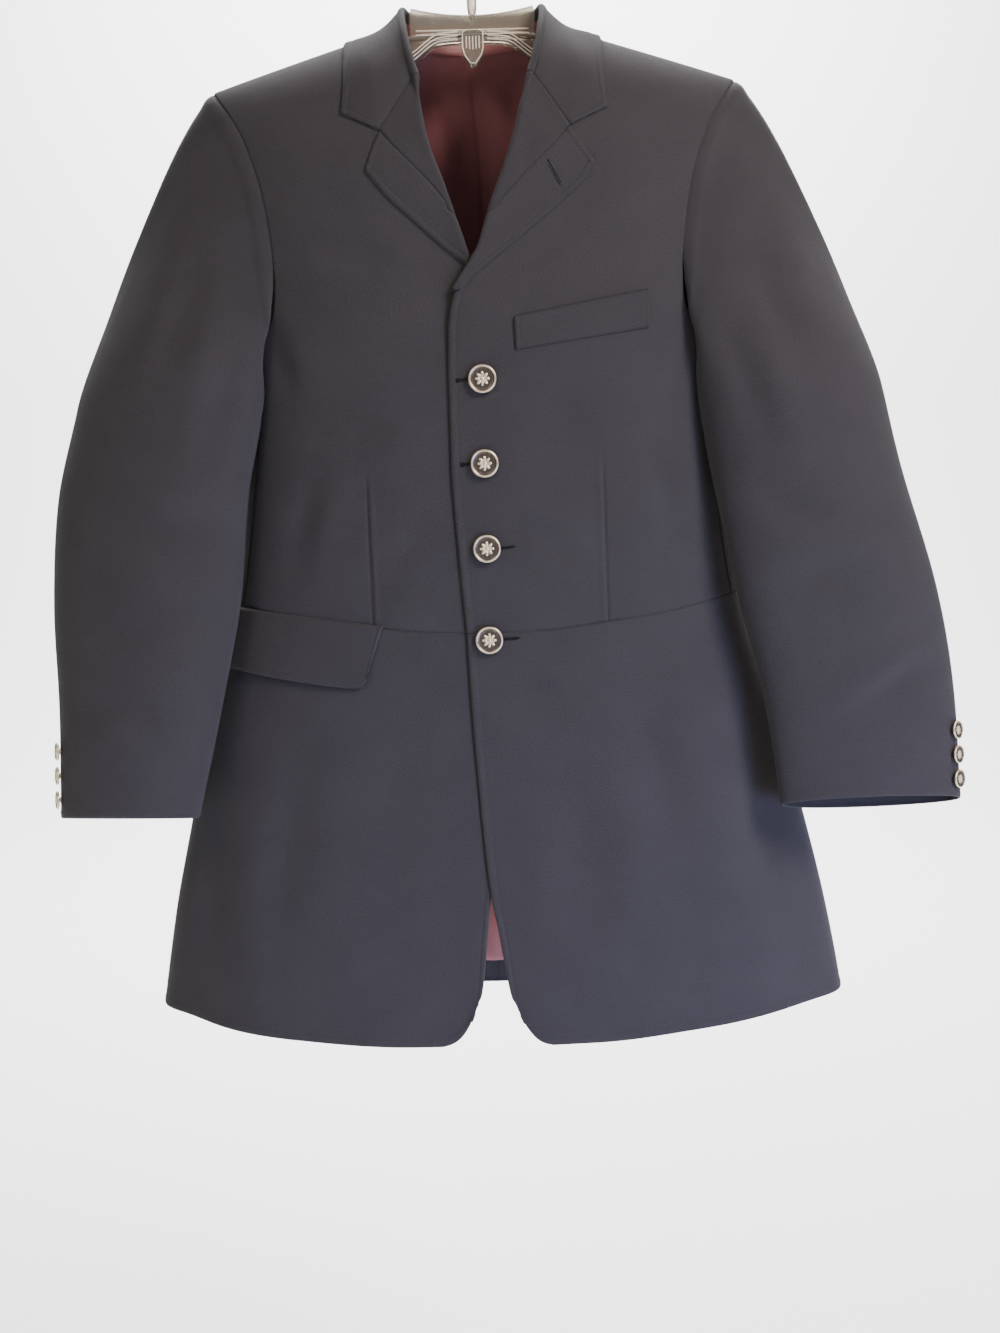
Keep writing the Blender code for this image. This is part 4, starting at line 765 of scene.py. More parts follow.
FRONT_TURN, BACK_TURN, LOWEST_TURN = 160.0, 205.0, 182.0
HEAD_ROWS, ARM_ROWS = 8.0, 9.0
UNDERARM_AIR, SLEEVE_AIR = 1.6, 4.5


def armhole_loop(turn):
    turn = turn % 360.0
    front = armhole_front(turn / FRONT_TURN)
    under = armhole_under((turn - FRONT_TURN) / (BACK_TURN - FRONT_TURN))
    behind = armhole_back((turn - BACK_TURN) / (360.0 - BACK_TURN))
    spot = np.where((turn < FRONT_TURN)[..., None], front,
                    np.where((turn < BACK_TURN)[..., None], under, behind))
    return spot[..., 0], spot[..., 1]


def on_armhole(turn):
    return body_point(*armhole_loop(turn))


ROUND = np.arange(1.0, 360.0, 2.0)


def evened(vectors):
    """Unit vectors round the armhole, with the kink at the shoulder tip spread out."""
    away = np.abs((ROUND[:, None] - ROUND[None] + 180.0) % 360.0 - 180.0)
    return unit(np.exp(-(away / 9.0) ** 2) @ unit(vectors))


armhole_normals = evened(skin_frame(*armhole_loop(ROUND), 1)[1])
armhole_rims = evened(on_armhole(ROUND + 2.0) - on_armhole(ROUND - 2.0))


def round_at(table, turn):
    return unit(np.stack([np.interp(turn, ROUND, table[:, k], period=360.0) for k in range(3)], axis=-1))


def sleeve_ring(table, turn, drop):
    top, foot = table[0][0], table[-1][0]
    z = top + (foot - top) * drop
    cx, cy, half, depth, yaw = np.moveaxis(smooth(table, z), -1, 0)
    t, w = np.radians(smooth(SLEEVE_TWIST, turn % 360.0)[..., 0]), np.radians(yaw)
    u, v = half * np.cos(t), -depth * np.sin(t)
    x = cx + u * np.cos(w) - v * np.sin(w)
    y = cy + u * np.sin(w) + v * np.cos(w)
    return np.stack((x, y, z + CUFF_SLANT * np.sin(t) * drop ** 2), axis=-1)


def clear_of_body(point, row):
    """Moves sleeve points below the armpit out of the body, with some air."""
    x, y, z = np.moveaxis(point, -1, 0)
    half, front, behind, power = np.moveaxis(smooth(BODY_SECTIONS, z), -1, 0)
    depth = np.where(y < 0, front, behind)
    angle = np.degrees(np.arctan2((np.abs(x) / half) ** (power / 2.0), (np.abs(y) / depth) ** (power / 2.0)))
    edge = smooth(ARMHOLE_UNDER, np.where(y > 0, 180.0 - angle, angle))[..., 0]
    air = (UNDERARM_AIR + (SLEEVE_AIR - UNDERARM_AIR) * ease(edge - z, 0.0, 9.0)) * ease(row, 0.0, 0.5)
    inside = (np.abs(x) / (half + air)) ** power + (np.abs(y) / (depth + air)) ** power
    grow = 1.0 + (np.maximum(inside, 1e-6) ** (-1.0 / power) - 1.0) * ease(-z, 290.0, 325.0)
    grow = np.where(inside < 1.0, grow, 1.0)
    return np.stack((x * grow, y * grow, z), axis=-1)


def sleeve_point(table, turn, row):
    turn, row = np.broadcast_arrays(np.asarray(turn, float), np.asarray(row, float))
    from_lowest = np.abs((turn % 360.0) - LOWEST_TURN)
    low = 1.0 - ease(from_lowest, 35.0, 90.0)
    start = on_armhole(turn)
    rim, normal = round_at(armhole_rims, turn), round_at(armhole_normals, turn)
    leave = np.cross(normal, rim)
    leave = np.where(leave[..., :1] < 0, -leave, leave)
    leave = leave * (1.0 - low)[..., None] + smooth(LOWER_LEAVE, turn % 360.0) * low[..., None]
    leave -= np.sum(leave * rim, axis=-1, keepdims=True) * rim
    leave = unit(leave)
    first = start + normal * (UNDERARM_AIR * low)[..., None]
    top = sleeve_ring(table, turn, np.zeros(turn.shape))
    down = unit(sleeve_ring(table, turn, np.full(turn.shape, 0.04)) - top)
    pull = 26.0 + 104.0 * ease(from_lowest, 30.0, 180.0)
    run = np.minimum(200.0, np.linalg.norm(top - first, axis=-1) * 1.1)
    t = (np.minimum(row, HEAD_ROWS) / HEAD_ROWS)[..., None]
    a, b, c, d = blend_weights(t)
    head = a * first + b * leave * pull[..., None] + c * top + d * down * run[..., None]
    head = np.where((row > 0.0)[..., None], clear_of_body(head, row), head)
    arm = clear_of_body(sleeve_ring(table, turn, np.maximum(row - HEAD_ROWS, 0.0) / ARM_ROWS), row)
    return np.where((row >= HEAD_ROWS)[..., None], arm, head)


# Points of x and z, width, depth and whether on the front, of each crease of a sleeve
SLEEVE_FOLDS = {
    1: ((((214.0, -250.0), (236.0, -330.0), (262.0, -400.0)), 16.0, 2.2, True),
        (((186.0, -330.0), (214.0, -400.0), (236.0, -470.0)), 13.0, 2.4, True),
        (((206.0, -470.0), (250.0, -500.0), (306.0, -505.0)), 14.0, 2.0, True),
        (((222.0, -560.0), (268.0, -548.0), (330.0, -556.0)), 14.0, 1.8, True),
        (((300.0, -655.0), (340.0, -632.0), (376.0, -628.0)), 10.0, 2.2, True),
        (((250.0, -690.0), (300.0, -660.0), (345.0, -655.0)), 13.0, 1.6, True),
        (((230.0, -240.0), (262.0, -350.0), (290.0, -450.0)), 18.0, 2.4, False),
        (((240.0, -500.0), (290.0, -520.0), (350.0, -505.0)), 14.0, 2.4, False)),
    -1: ((((-214.0, -250.0), (-238.0, -330.0), (-268.0, -400.0)), 16.0, 2.0, True),
         (((-186.0, -330.0), (-208.0, -400.0), (-226.0, -470.0)), 13.0, 2.4, True),
         (((-204.0, -480.0), (-250.0, -500.0), (-318.0, -490.0)), 14.0, 1.8, True),
         (((-222.0, -585.0), (-262.0, -570.0), (-320.0, -590.0)), 14.0, 1.6, True),
         (((-340.0, -655.0), (-300.0, -640.0), (-262.0, -660.0)), 12.0, 1.6, True),
         (((-230.0, -240.0), (-262.0, -350.0), (-290.0, -450.0)), 18.0, 2.4, False),
         (((-240.0, -500.0), (-290.0, -520.0), (-345.0, -505.0)), 14.0, 2.4, False)),
}


def sleeve(table, side, word):
    rows = np.unique(np.concatenate((np.array([0.0, 0.02, 0.05, 0.1, 0.16, 0.23, 0.31, 0.4, 0.5]),
                                     np.linspace(0.6, HEAD_ROWS, 70), np.linspace(HEAD_ROWS, 16.85, 78),
                                     17.0 - np.array([0.12, 0.09, 0.06, 0.035, 0.015, 0.0]))))
    low = ease(rows, HEAD_ROWS * 0.5, HEAD_ROWS + ARM_ROWS)[:, None]
    hind = HINDARM_TOP + (HINDARM_CUFF - HINDARM_TOP) * low
    for piece, top_piece, length in (("top_sleeve_", True, 215.0), ("under_sleeve_", False, 105.0)):
        shares = spread(length, 3.6)[None, :]
        first, last = (hind, FOREARM_SEAM) if top_piece else (FOREARM_SEAM, hind + 360.0)
        turns = first + (last - first) * shares
        skin = sleeve_point(table, turns, rows[:, None] + 0.0 * shares) * np.array((side, 1.0, 1.0))
        skin = skin[::-1]
        near = from_edges(skin)
        vent_edge = near["inner"] if top_piece else near["outer"]
        vent = np.exp(-(vent_edge / 6.0) ** 2) * (1.0 - ease(near["foot"], 78.0, 92.0))
        relief = (seam_roll(near["head"], 0.9, 1.6) + 1.5 * np.exp(-((near["head"] - 8.0) / 6.0) ** 2)
                  + turned_edge(near["foot"], 9.0) * 0.7 + seam_roll(near["inner"], 0.7)
                  + seam_roll(near["outer"], 0.7) + vent * (1.1 if top_piece else -0.8))
        forearm = near["outer"] if top_piece else near["inner"]
        relief = relief + 3.2 * np.exp(-((skin[..., 2] + 560.0) / 60.0) ** 2 - (forearm / 28.0) ** 2)
        for points, width, depth, front in SLEEVE_FOLDS[side]:
            relief = relief + fold_line(skin, points, width, 1.6 * depth, front, lean=float(side))
        sew(piece + word + "_cloth", skin, relief, wool, -side, turned=("foot",), node=piece + word)


for side, word, table in SLEEVES:
    sleeve(table, side, word)


# Collar: an undercollar and a top collar over canvas, sewn round the neckline, standing up
# to a soft fold and falling again onto the shoulders. Its ends are cut square to the gorge
# and leave the notch open above the lapels.

# fold x y z, outer edge x y z
COLLAR_STATIONS = (
    ((0.0, 45.5, -77.0), (0.0, 54.0, -121.0)),
    ((31.0, 38.0, -78.5), (44.0, 47.0, -124.0)),
    ((50.0, 18.0, -82.5), (84.0, 27.0, -125.0)),
    ((55.5, -8.0, -85.0), (99.5, -8.0, -116.0)),
    ((54.0, -37.0, -104.5), (101.0, -42.0, -143.0)),
    ((50.5, -55.0, -128.0), (102.0, -54.0, -164.0)),
    ((45.5, -66.5, -152.0), (104.0, -60.0, -180.0)),
)
COLLAR_FOLDS = ((((66.0, -96.0), (82.0, -108.0), (90.0, -132.0)), 9.0, 0.9),
                (((-64.0, -92.0), (-84.0, -104.0), (-94.0, -126.0)), 10.0, 1.2))
GORGE_NOTCH = (74.0, -195.0)
COLLAR_FOLD_RADIUS = 3.0
COLLAR_CORNER = 0.55
NECK_SPLIT = 0.5
STAND_ROWS, FOLD_ROWS = 8, 13
collar_fold = [row[0] for row in COLLAR_STATIONS]
collar_edge = [row[1] for row in COLLAR_STATIONS]


def skin_tree(names):
    points, faces = [], []
    for name in names:
        grid = sewn[name]["face"][::3, ::3]
        base, wide = len(points), grid.shape[1]
        points += [Vector(p) for row in grid for p in row]
        for j in range(grid.shape[0] - 1):
            for i in range(wide - 1):
                k = base + j * wide + i
                faces += [(k, k + 1, k + wide + 1), (k, k + wide + 1, k + wide)]
    return BVHTree.FromPolygons(points, faces)


trees = {1: skin_tree(("front_left", "back_left_cloth", "back_right_cloth")),
         -1: skin_tree(("front_right", "back_left_cloth", "back_right_cloth"))}


def lift(point, height, side, snap=False):
    """Point at least, or with snap exactly, a height above the cloth below it."""
    near, normal, _, _ = trees[side].find_nearest(Vector(point))
    inner = Vector((near.x * 0.55, near.y * 0.25, min(near.z, float(shoulder_height(near.x))) - 70.0))
    if normal.dot(near - inner) < 0:
        normal = -normal
    away = (Vector(point) - near).dot(normal)
    if snap or away < height:
        return np.array(near + normal * height)
    return np.array(point)


def neck_frame(share):
    behind = seam_through(by_angle(NECK_BACK + (NECK_POINT,), True))
    ahead_line = rising_seam(opening_table(1), NECK_POINT[1], -158.0)

    def place(at):
        at = np.clip(at, 0.0, 1.0)
        first, second = behind(at / NECK_SPLIT), ahead_line((at - NECK_SPLIT) / (1.0 - NECK_SPLIT))
        spot = np.where((at < NECK_SPLIT)[..., None], first, second)
        return spot[..., 0], spot[..., 1]

    angle, z = place(share)
    here, normal = skin_frame(angle, z, 1)
    along = unit(lapped(*place(share + 0.02), 1) - lapped(*place(share - 0.02), 1))
    hole = unit(np.cross(normal, along))
    centre = np.stack((np.zeros_like(z), np.full_like(z, -5.0), z), axis=-1)
    hole = np.where(np.sum(hole * (centre - here), axis=-1, keepdims=True) < 0, -hole, hole)
    return here, normal, hole


def collar_half(side, shares, falls):
    """Stand, fold and fall of half the collar, from the centre back to the gorge."""
    fold, edge = along_curve(collar_fold, shares), along_curve(collar_edge, shares)
    along = unit(along_curve(collar_fold, np.minimum(shares + 0.02, 1.0))
                 - along_curve(collar_fold, np.maximum(shares - 0.02, 0.0)))
    neck, normal, hole = neck_frame(shares)
    base = neck + hole * 2.0 - normal * 0.8
    up = fold - base
    up = unit(up - np.sum(up * along, axis=-1, keepdims=True) * along)
    outward = unit(np.cross(up, along))
    outward = np.where(np.sum(outward * (edge - fold), axis=-1, keepdims=True) < 0, -outward, outward)
    centre = fold - up * COLLAR_FOLD_RADIUS
    turned = [centre + COLLAR_FOLD_RADIUS * (-outward * math.cos(a) + up * math.sin(a))
              for a in np.linspace(0.0, math.pi, FOLD_ROWS)]
    stand = [base * (1 - w) + turned[0] * w for w in np.linspace(0.0, 1.0, STAND_ROWS + 1)[:-1]]
    notch = np.array((GORGE_NOTCH[0], -64.0, GORGE_NOTCH[1]))
    point = np.array(collar_edge[-1])
    pulled = smooth(((0.0, 0.0), (0.5833, 0.0), (0.6667, 0.06), (0.75, 0.2), (0.8333, 0.45), (0.9167, 0.72),
                     (1.0, 1.0)), shares)
    rows = stand + turned
    for w in falls[1:]:
        c = COLLAR_CORNER
        target = (turned[-1][-1] * (1 - w / c) + notch * (w / c) if w < c
                  else notch * (1 - (w - c) / (1 - c)) + point * (w - c) / (1 - c))
        shift = target - turned[-1][-1] * (1 - w) - point * w
        rows.append(turned[-1] * (1 - w) + edge * w + shift * pulled)
    grid = np.stack(rows, axis=1) * np.array((side, 1.0, 1.0))
    first = STAND_ROWS + FOLD_ROWS
    for k in range(grid.shape[0]):
        for m in range(first, grid.shape[1]):
            w = falls[m - first + 1]
            height = 3.0 - 0.8 * max(ease(w, 0.8, 1.0), ease(shares[k], 0.94, 1.0))
            height += 1.6 * float(ease(grid[k, m, 1], -35.0, 0.0))
            grid[k, m] = lift(grid[k, m], float(height), side, snap=w > 0.97)
    return grid


collar_falls = spread(52.0, 2.4)


def collar():
    shares = spread(190.0, 3.4)
    left, right = collar_half(1, shares, collar_falls), collar_half(-1, shares, collar_falls)
    seam = (left[0] + right[0]) / 2
    seam[:, 0] = 0.0
    left[0] = seam
    grid = np.concatenate((right[:0:-1], left), axis=0)
    start = STAND_ROWS + FOLD_ROWS + 1
    fall = grid[:, start - 1:]
    for _ in range(10):
        fall[1:-1, 1:-1] = (fall[:-2, 1:-1] + 2 * fall[1:-1, 1:-1] + fall[2:, 1:-1]) / 4
        fall[1:-1, 1:-1] = (fall[1:-1, :-2] + 2 * fall[1:-1, 1:-1] + fall[1:-1, 2:]) / 4
    skin = grid.transpose(1, 0, 2)[::-1]
    near = from_edges(skin)
    falls = np.concatenate((np.zeros(STAND_ROWS + FOLD_ROWS - 1), collar_falls))[::-1, None]
    free = falls > COLLAR_CORNER
    ends = np.minimum(near["inner"], near["outer"])
    ends = np.where(free, turned_edge(ends, 5.0) * 0.7, seam_roll(ends, 0.7))
    relief = creased(turned_edge(near["foot"], 5.0) * 0.8 + ends, skin, COLLAR_FOLDS)
    sew("collar_cloth", skin, relief, wool, -1, thick=2.0, turned=("foot",), node="collar")
    return skin


collar_skin = collar()


# Lapels: the fronts folded back along the roll line, canvas inside, wool on both faces.
# Each is joined from an inner piece and an outer band, with a seam that runs from the
# notch down to the fold and over it. The edges are stitched five millimetres in.

LAPEL_TOP_Z = -160.0
SEAM_FOOT_Z = -266.0
LAPEL_EDGE_OVER = ((93.0, -222.5), (79.8, -240.5), (49.6, -266.5), (24.6, -286.7), (-0.5, -305.8),
                   (-14.0, -318.5))
LAPEL_EDGE_UNDER = ((86.0, -224.5), (71.0, -244.0), (48.7, -265.5), (24.7, -287.2), (10.3, -299.0),
                    (2.0, -307.0))
BAND_SEAM_OVER = ((74.0, -195.3), (42.4, -226.0), (20.5, -249.5))
BAND_SEAM_UNDER = ((74.0, -195.3), (43.0, -229.0), (25.5, -249.5))
FOLD_LIFT, EDGE_LIFT, ROLL_GAP, TUCK = 4.4, 1.9, 1.6, -1.0


def front_spot(x, z, side):
    """Skin of a front at x towards its own side and a height, and its normal."""
    return skin_frame(angle_of(np.array(x), np.array(z)), z, side)


def laid_on_front(spots, height, side):
    here, normal = front_spot(spots[..., 0], spots[..., 1], side)
    return here + normal * np.asarray(height)[..., None]


def fold_frame(z, side):
    """Foot of the roll line, its normal and the way into the opening."""
    table = opening_table(side)

    def angle(height):
        return smooth(table, height)[..., 0]
    foot, normal = skin_frame(angle(z), z, side)
    along = unit(lapped(angle(z + 2.0), z + 2.0, side) - lapped(angle(z - 2.0), z - 2.0, side))
    across = unit(np.cross(normal, along))
    return foot, normal, np.where(across[..., :1] * side > 0, -across, across)


def roll_x(z, side):
    return x_at(smooth(opening_table(side), z)[..., 0], z)


def roll_height(z):
    return FOLD_LIFT * (1.0 - 0.45 * np.clip((-258.5 - np.asarray(z, float)) / 60.0, 0.0, 1.0))


def roll_end(z):
    """Run at which the roll has turned right under, inside the front."""
    return -ROLL_GAP - math.pi * (roll_height(z) - TUCK) / 2.0


def lapel_point(spots, side):
    """Point of a lapel at a run from its roll line and a height; the run is negative round the roll."""
    run, z = spots[..., 0], spots[..., 1]
    edge = LAPEL_EDGE_OVER if side > 0 else LAPEL_EDGE_UNDER
    reach = smooth([(-150.0, 74.0), (-196.0, 74.0)] + [(b, a) for a, b in edge], z)[..., 0] - roll_x(z, side)
    high = roll_height(z)
    radius = (high - TUCK) / 2.0
    foot, normal, across = fold_frame(z, side)
    turn = np.clip(math.pi + (run + ROLL_GAP) / radius, 0.0, math.pi)[..., None]
    middle = foot + across * ROLL_GAP + normal * (high - radius)[..., None]
    rolled = middle + radius[..., None] * (-normal * np.cos(turn) + across * np.sin(turn))
    straight = foot + across * np.clip(-run, 0.0, ROLL_GAP)[..., None] + normal * high[..., None]
    share = np.clip(run / np.maximum(reach, 4.0), 0.0, 1.0)
    height = EDGE_LIFT + (high - EDGE_LIFT) * (1.0 - share) ** 1.5
    flat = laid_on_front(np.stack((roll_x(z, side) + np.maximum(run, 0.0), z), axis=-1), height, side)
    return np.where((run < -ROLL_GAP)[..., None], rolled, np.where((run < 0.0)[..., None], straight, flat))


def to_runs(points, side):
    return [(max(x - float(roll_x(z, side)), 0.3), z) for x, z in points]


def gorge_target(run, side):
    """End of the collar that a point on the head of the lapel is sewn to."""
    column = collar_skin[::-1, -1 if side > 0 else 0]
    notch_run = GORGE_NOTCH[0] - float(roll_x(GORGE_NOTCH[1], side))
    at = np.where(run < -ROLL_GAP,
                  STAND_ROWS + (FOLD_ROWS - 1) * np.clip(1.0 + (run + ROLL_GAP) / 8.5, 0.0, 1.0), 0.0)
    falls = np.clip((run + ROLL_GAP) / (notch_run + ROLL_GAP), 0.0, 1.0) * COLLAR_CORNER
    rows = STAND_ROWS + FOLD_ROWS - 1 + np.interp(falls, collar_falls, np.arange(len(collar_falls)))
    at = np.where(run < -ROLL_GAP, at, rows)
    return np.stack([np.interp(at, np.arange(len(column)), column[:, k]) for k in range(3)], axis=-1)


def lapel(side, word):
    edge = LAPEL_EDGE_OVER if side > 0 else LAPEL_EDGE_UNDER
    seam = to_runs(BAND_SEAM_OVER if side > 0 else BAND_SEAM_UNDER, side)
    seam += [(0.5, -257.0), (-4.5, -262.0), (float(roll_end(SEAM_FOOT_Z)) + 2.0, SEAM_FOOT_Z)]
    widths = spread(52.0, 1.8)[None, :, None]

    t = spread(110.0, 1.9)
    z = LAPEL_TOP_Z + (SEAM_FOOT_Z - LAPEL_TOP_Z) * t
    inside = np.stack((roll_end(z), z), axis=-1)
    spots = inside[:, None] * (1 - widths) + along_curve(seam, t)[:, None] * widths
    inner = lapel_point(spots, side)
    sewn_to = gorge_target(spots[0, :, 0], side)
    inner = inner + (sewn_to - inner[0])[None] * (1.0 - ease(runs(inner)[1], 0.0, 18.0))[..., None]
    inner = inner[::-1]
    near = from_edges(inner)
    crease = ((50.0 * side, -186.0), (42.0 * side, -208.0), (32.0 * side, -230.0))
    relief = (seam_roll(near["outer"], 0.8, 1.0) + seam_roll(near["head"], 0.7, 1.0)
              + fold_line(inner, crease, 6.0, 0.6))
    sew("lapel_inner_" + word, inner, relief, wool, side, thick=2.0, node="lapel_" + word)

    foot_z = edge[-1][1] - 0.5
    down = [(float(roll_end(z)), z) for z in np.linspace(-272.0, foot_z, 6)]
    t = spread(150.0, 2.0)
    inside, outside = along_curve(seam + down, t), along_curve(to_runs(edge, side), t)
    spots = inside[:, None] * (1 - widths) + outside[:, None] * widths
    band = lapel_point(spots, side)[::-1]
    near = from_edges(band)
    above = ease(spots[::-1, :1, 1], -268.0, -262.0)
    relief = (turned_edge(near["outer"], 5.0) * 0.8 + turned_edge(near["head"], 5.0) * 0.8
              + seam_roll(near["inner"], 0.8, 1.0) * above)
    sew("lapel_outer_" + word, band, relief, wool, side, thick=2.0, turned=("outer", "head"),
        node="lapel_band_" + word)


for side, word in SIDES:
    lapel(side, word)


# Lining: burgundy satin behind the back panels, felled at the neck and 22 mm above the hem,
# with an ease pleat down the middle, and a strip of it inside the stand of the collar. It
# is thin and shiny, so it shows small soft folds.

def satin_cloth(tree):
    weave = woven(tree, {"Pitch": 0.0007, "Rib": 0.8, "Nap": 0.35})
    return {"Base Color": two_tones(tree, weave["Tone"], (0.165, 0.050, 0.053), (0.36, 0.130, 0.135)),
            "Normal": fine_bump(tree, weave["Height"], 0.25, 0.0002),
            "Roughness": 0.44, "Anisotropic": 0.4, "Specular IOR Level": 0.30}


satin = surface("burgundy satin", satin_cloth)
LINING_INSET = 4.8
LINING_FOLDS = ((((-34.0, -126.0), (-26.0, -175.0), (-14.0, -260.0)), 8.0, 1.3),
                (((22.0, -126.0), (34.0, -160.0), (26.0, -235.0)), 8.0, 1.2),
                (((62.0, -150.0), (36.0, -190.0), (14.0, -245.0)), 8.0, 1.1),
                (((8.0, -170.0), (12.0, -260.0), (8.0, -340.0)), 5.0, 0.8),
                (((-40.0, -600.0), (-30.0, -760.0), (-26.0, -900.0)), 14.0, 1.0))


def lining():
    drops = np.concatenate((np.linspace(1.5, 60.0, 24), np.linspace(64.0, 806.0, 150)))
    shares = 1.0 - drops[::-1] / BACK_LONG
    across = np.linspace(0.0, 0.985, 80) ** 1.2
    left, right = back_skin(1, across, shares), back_skin(-1, across, shares)
    left, right = left - normals_of(left, -1) * LINING_INSET, right - normals_of(right, 1) * LINING_INSET
    left[:, 0] = (left[:, 0] + right[:, 0]) / 2
    skin = np.concatenate((right[:, :0:-1], left), axis=1)
    x, z = skin[..., 0], skin[..., 2]
    line = smooth(((-920.0, 0.0), (-420.0, 2.0), (-240.0, 3.0), (-120.0, -4.0)), z)[..., 0]
    off = x - line
    relief = 1.3 / (1.0 + np.exp(np.clip(off / 0.7, -40, 40))) * np.exp(np.minimum(off, 0.0) / 22.0)
    relief = relief - 0.5 * np.exp(-((off - 1.4) / 1.4) ** 2)
    relief = creased(relief, skin, LINING_FOLDS, front=False)
    sew("lining", skin, np.maximum(relief, -1.1), satin, 1, thick=0.9, turned=("foot",), node="back_lining")
    stand = sewn["collar_cloth"]["face"] + sewn["collar_cloth"]["normal"] * 1.1
    wide = stand.shape[1] // 2
    part = int(0.62 * wide)
    strip = stand[:-7:-1, wide - part:wide + part + 1]
    fine = np.linspace(0.0, 5.0, 12)
    strip = np.stack([strip[int(k)] * (1 - k % 1) + strip[min(int(k) + 1, 5)] * (k % 1) for k in fine])
    below = [strip[:1] + np.array(shift) for shift in ((0.0, -0.8, -6.0), (0.0, -0.4, -3.0))]
    strip = np.concatenate((*below, strip))
    sew("neck_lining", strip, np.zeros(strip.shape[:2]), satin, 1, thick=0.6, turned=("head",))


lining()


# Pockets: a narrow breast welt on the wearer's left, cut on the grain and stitched down at
# both ends, and a flap that hangs from the waist seam on the right. Both are lined with
# their own cloth, turned at the edge and stitched close to it.

WELT = ((28.0, -366.0), (134.6, -350.0), (135.0, -321.0), (27.0, -341.0))
FLAP_FOOT = ((-215.0, -617.0), (-160.0, -626.0), (-115.0, -631.5), (-103.0, -630.0), (-98.5, -622.0))
FLAP_HEAD = ((-209.0, -567.0), (-160.0, -572.5), (-115.0, -578.5), (-95.0, -581.2), (-85.0, -582.5))


def pocket_piece(name, foot, head, side, low, high, across, up, node, turned):
    us, vs = spread(across, 2.0), spread(up, 1.8)
    foot_line = along_curve([(abs(x), z) for x, z in foot], us)
    head_line = along_curve([(abs(x), z) for x, z in head], us)
    spots = foot_line[None] * (1 - vs[:, None, None]) + head_line[None] * vs[:, None, None]
    height = (low * (1 - vs) + high * vs)[:, None] + 1.6
    skin = laid_on_front(spots, height + 0.0 * us[None, :], side)
    out = -side if foot_line[0, 0] > foot_line[-1, 0] else side
    near = from_edges(skin)
    relief = sum(turned_edge(near[edge], 3.6) * 0.75 for edge in turned)
    for edge in near:
        if edge not in turned:
            relief = relief + seam_roll(near[edge], 1.0)
    sew(name, skin, relief, wool, out, thick=1.7, turned=turned, node=node)


pocket_piece("welt_cloth", (WELT[0], WELT[1]), (WELT[3], WELT[2]), 1, 0.5, 0.5, 108.0, 28.0, "breast_welt",
             ("head", "inner", "outer"))
pocket_piece("flap_cloth", FLAP_FOOT, FLAP_HEAD, -1, 2.8, 0.5, 130.0, 50.0, "hip_flap",
             ("foot", "outer"))


# Sewing thread: the edges are picked by hand in cloth-coloured silk, short stitches that
# sink into the nap, and the hem is felled from behind, so only small dimples of thread
# show above it. All the stitches lie along lines read off the sewn pieces.

def stitch_tree():
    """Small round stitches set end to end along a line."""
    tree, given = new_group(
        "hand stitches", "GeometryNodeTree",
        (("Geometry", "Geometry", None), ("Pitch", "Float", 0.004), ("Length", "Float", 0.0018),
         ("Thread", "Float", 0.0003), ("Silk", "Material", None)), (("Geometry", "Geometry"),))
    line = added(tree, "GeometryNodeMeshToCurve", {"Mesh": given["Geometry"]})
    even = added(tree, "GeometryNodeResampleCurve", {"Curve": line.outputs["Curve"],
                                                     "Length": given["Pitch"]}, mode="LENGTH")
    bead = added(tree, "GeometryNodeMeshIcoSphere", {"Radius": 0.5, "Subdivisions": 1})
    shape = added(tree, "ShaderNodeCombineXYZ", {0: given["Length"], 1: given["Thread"], 2: given["Thread"]})
    tangent = added(tree, "GeometryNodeInputTangent")
    aim = added(tree, "FunctionNodeAlignRotationToVector", {"Vector": tangent.outputs[0]}, axis="X")
    place = added(tree, "GeometryNodeInstanceOnPoints", {
        "Points": even.outputs[0], "Instance": bead.outputs["Mesh"], "Rotation": aim.outputs[0],
        "Scale": shape.outputs[0]})
    realise(tree, place, given["Silk"])
    return tree


def realise(tree, place, mat):
    """Ends a tree: its instances become plain mesh of one material."""
    real = added(tree, "GeometryNodeRealizeInstances", {0: place.outputs[0]})
    finish = added(tree, "GeometryNodeSetMaterial", {"Geometry": real.outputs[0], "Material": mat})
    added(tree, "NodeGroupOutput", {0: finish.outputs[0]})


stitches = stitch_tree()


def grain_group():
    """Group: fine noise over a piece, and the same noise between two roughnesses."""
    tree, given = new_group(
        "surface grain", "ShaderNodeTree",
        (("Place", "Vector", None), ("Scale", "Float", 1500.0), ("Detail", "Float", 2.0),
         ("Smoothest", "Float", 0.2), ("Roughest", "Float", 0.4)),
        (("Grain", "Float"), ("Roughness", "Float")))
    noise = added(tree, "ShaderNodeTexNoise", {"Vector": given["Place"], "Scale": given["Scale"],
                                               "Detail": given["Detail"]}).outputs[0]
    rough = added(tree, "ShaderNodeMapRange", {"Value": noise, "To Min": given["Smoothest"],
                                               "To Max": given["Roughest"]}).outputs[0]
    added(tree, "NodeGroupOutput", {"Grain": noise, "Roughness": rough})
    return tree


surface_grain = grain_group()


def grained(tree, values):
    """Grain fixed to the piece's own coordinates."""
    where = added(tree, "ShaderNodeTexCoord").outputs["Object"]
    return added(tree, "ShaderNodeGroup", {"Place": where, **values}, node_tree=surface_grain).outputs


def thread(colour, roughness):
    dark, light = [c * 0.7 for c in colour], [c * 1.3 for c in colour]
    twist = {"Scale": 2600.0}
    return lambda tree: {"Base Color": two_tones(tree, grained(tree, twist)["Grain"], dark, light),
                         "Roughness": roughness, "Specular IOR Level": 0.2}


silk = surface("charcoal silk thread", thread((0.045, 0.044, 0.048), 0.6))
# The same black also fills each buttonhole slit and eye as painted shade.
black_twist_and_slit_shade = surface("black buttonhole twist and painted slit shade", thread((0.006, 0.006, 0.007), 0.8))


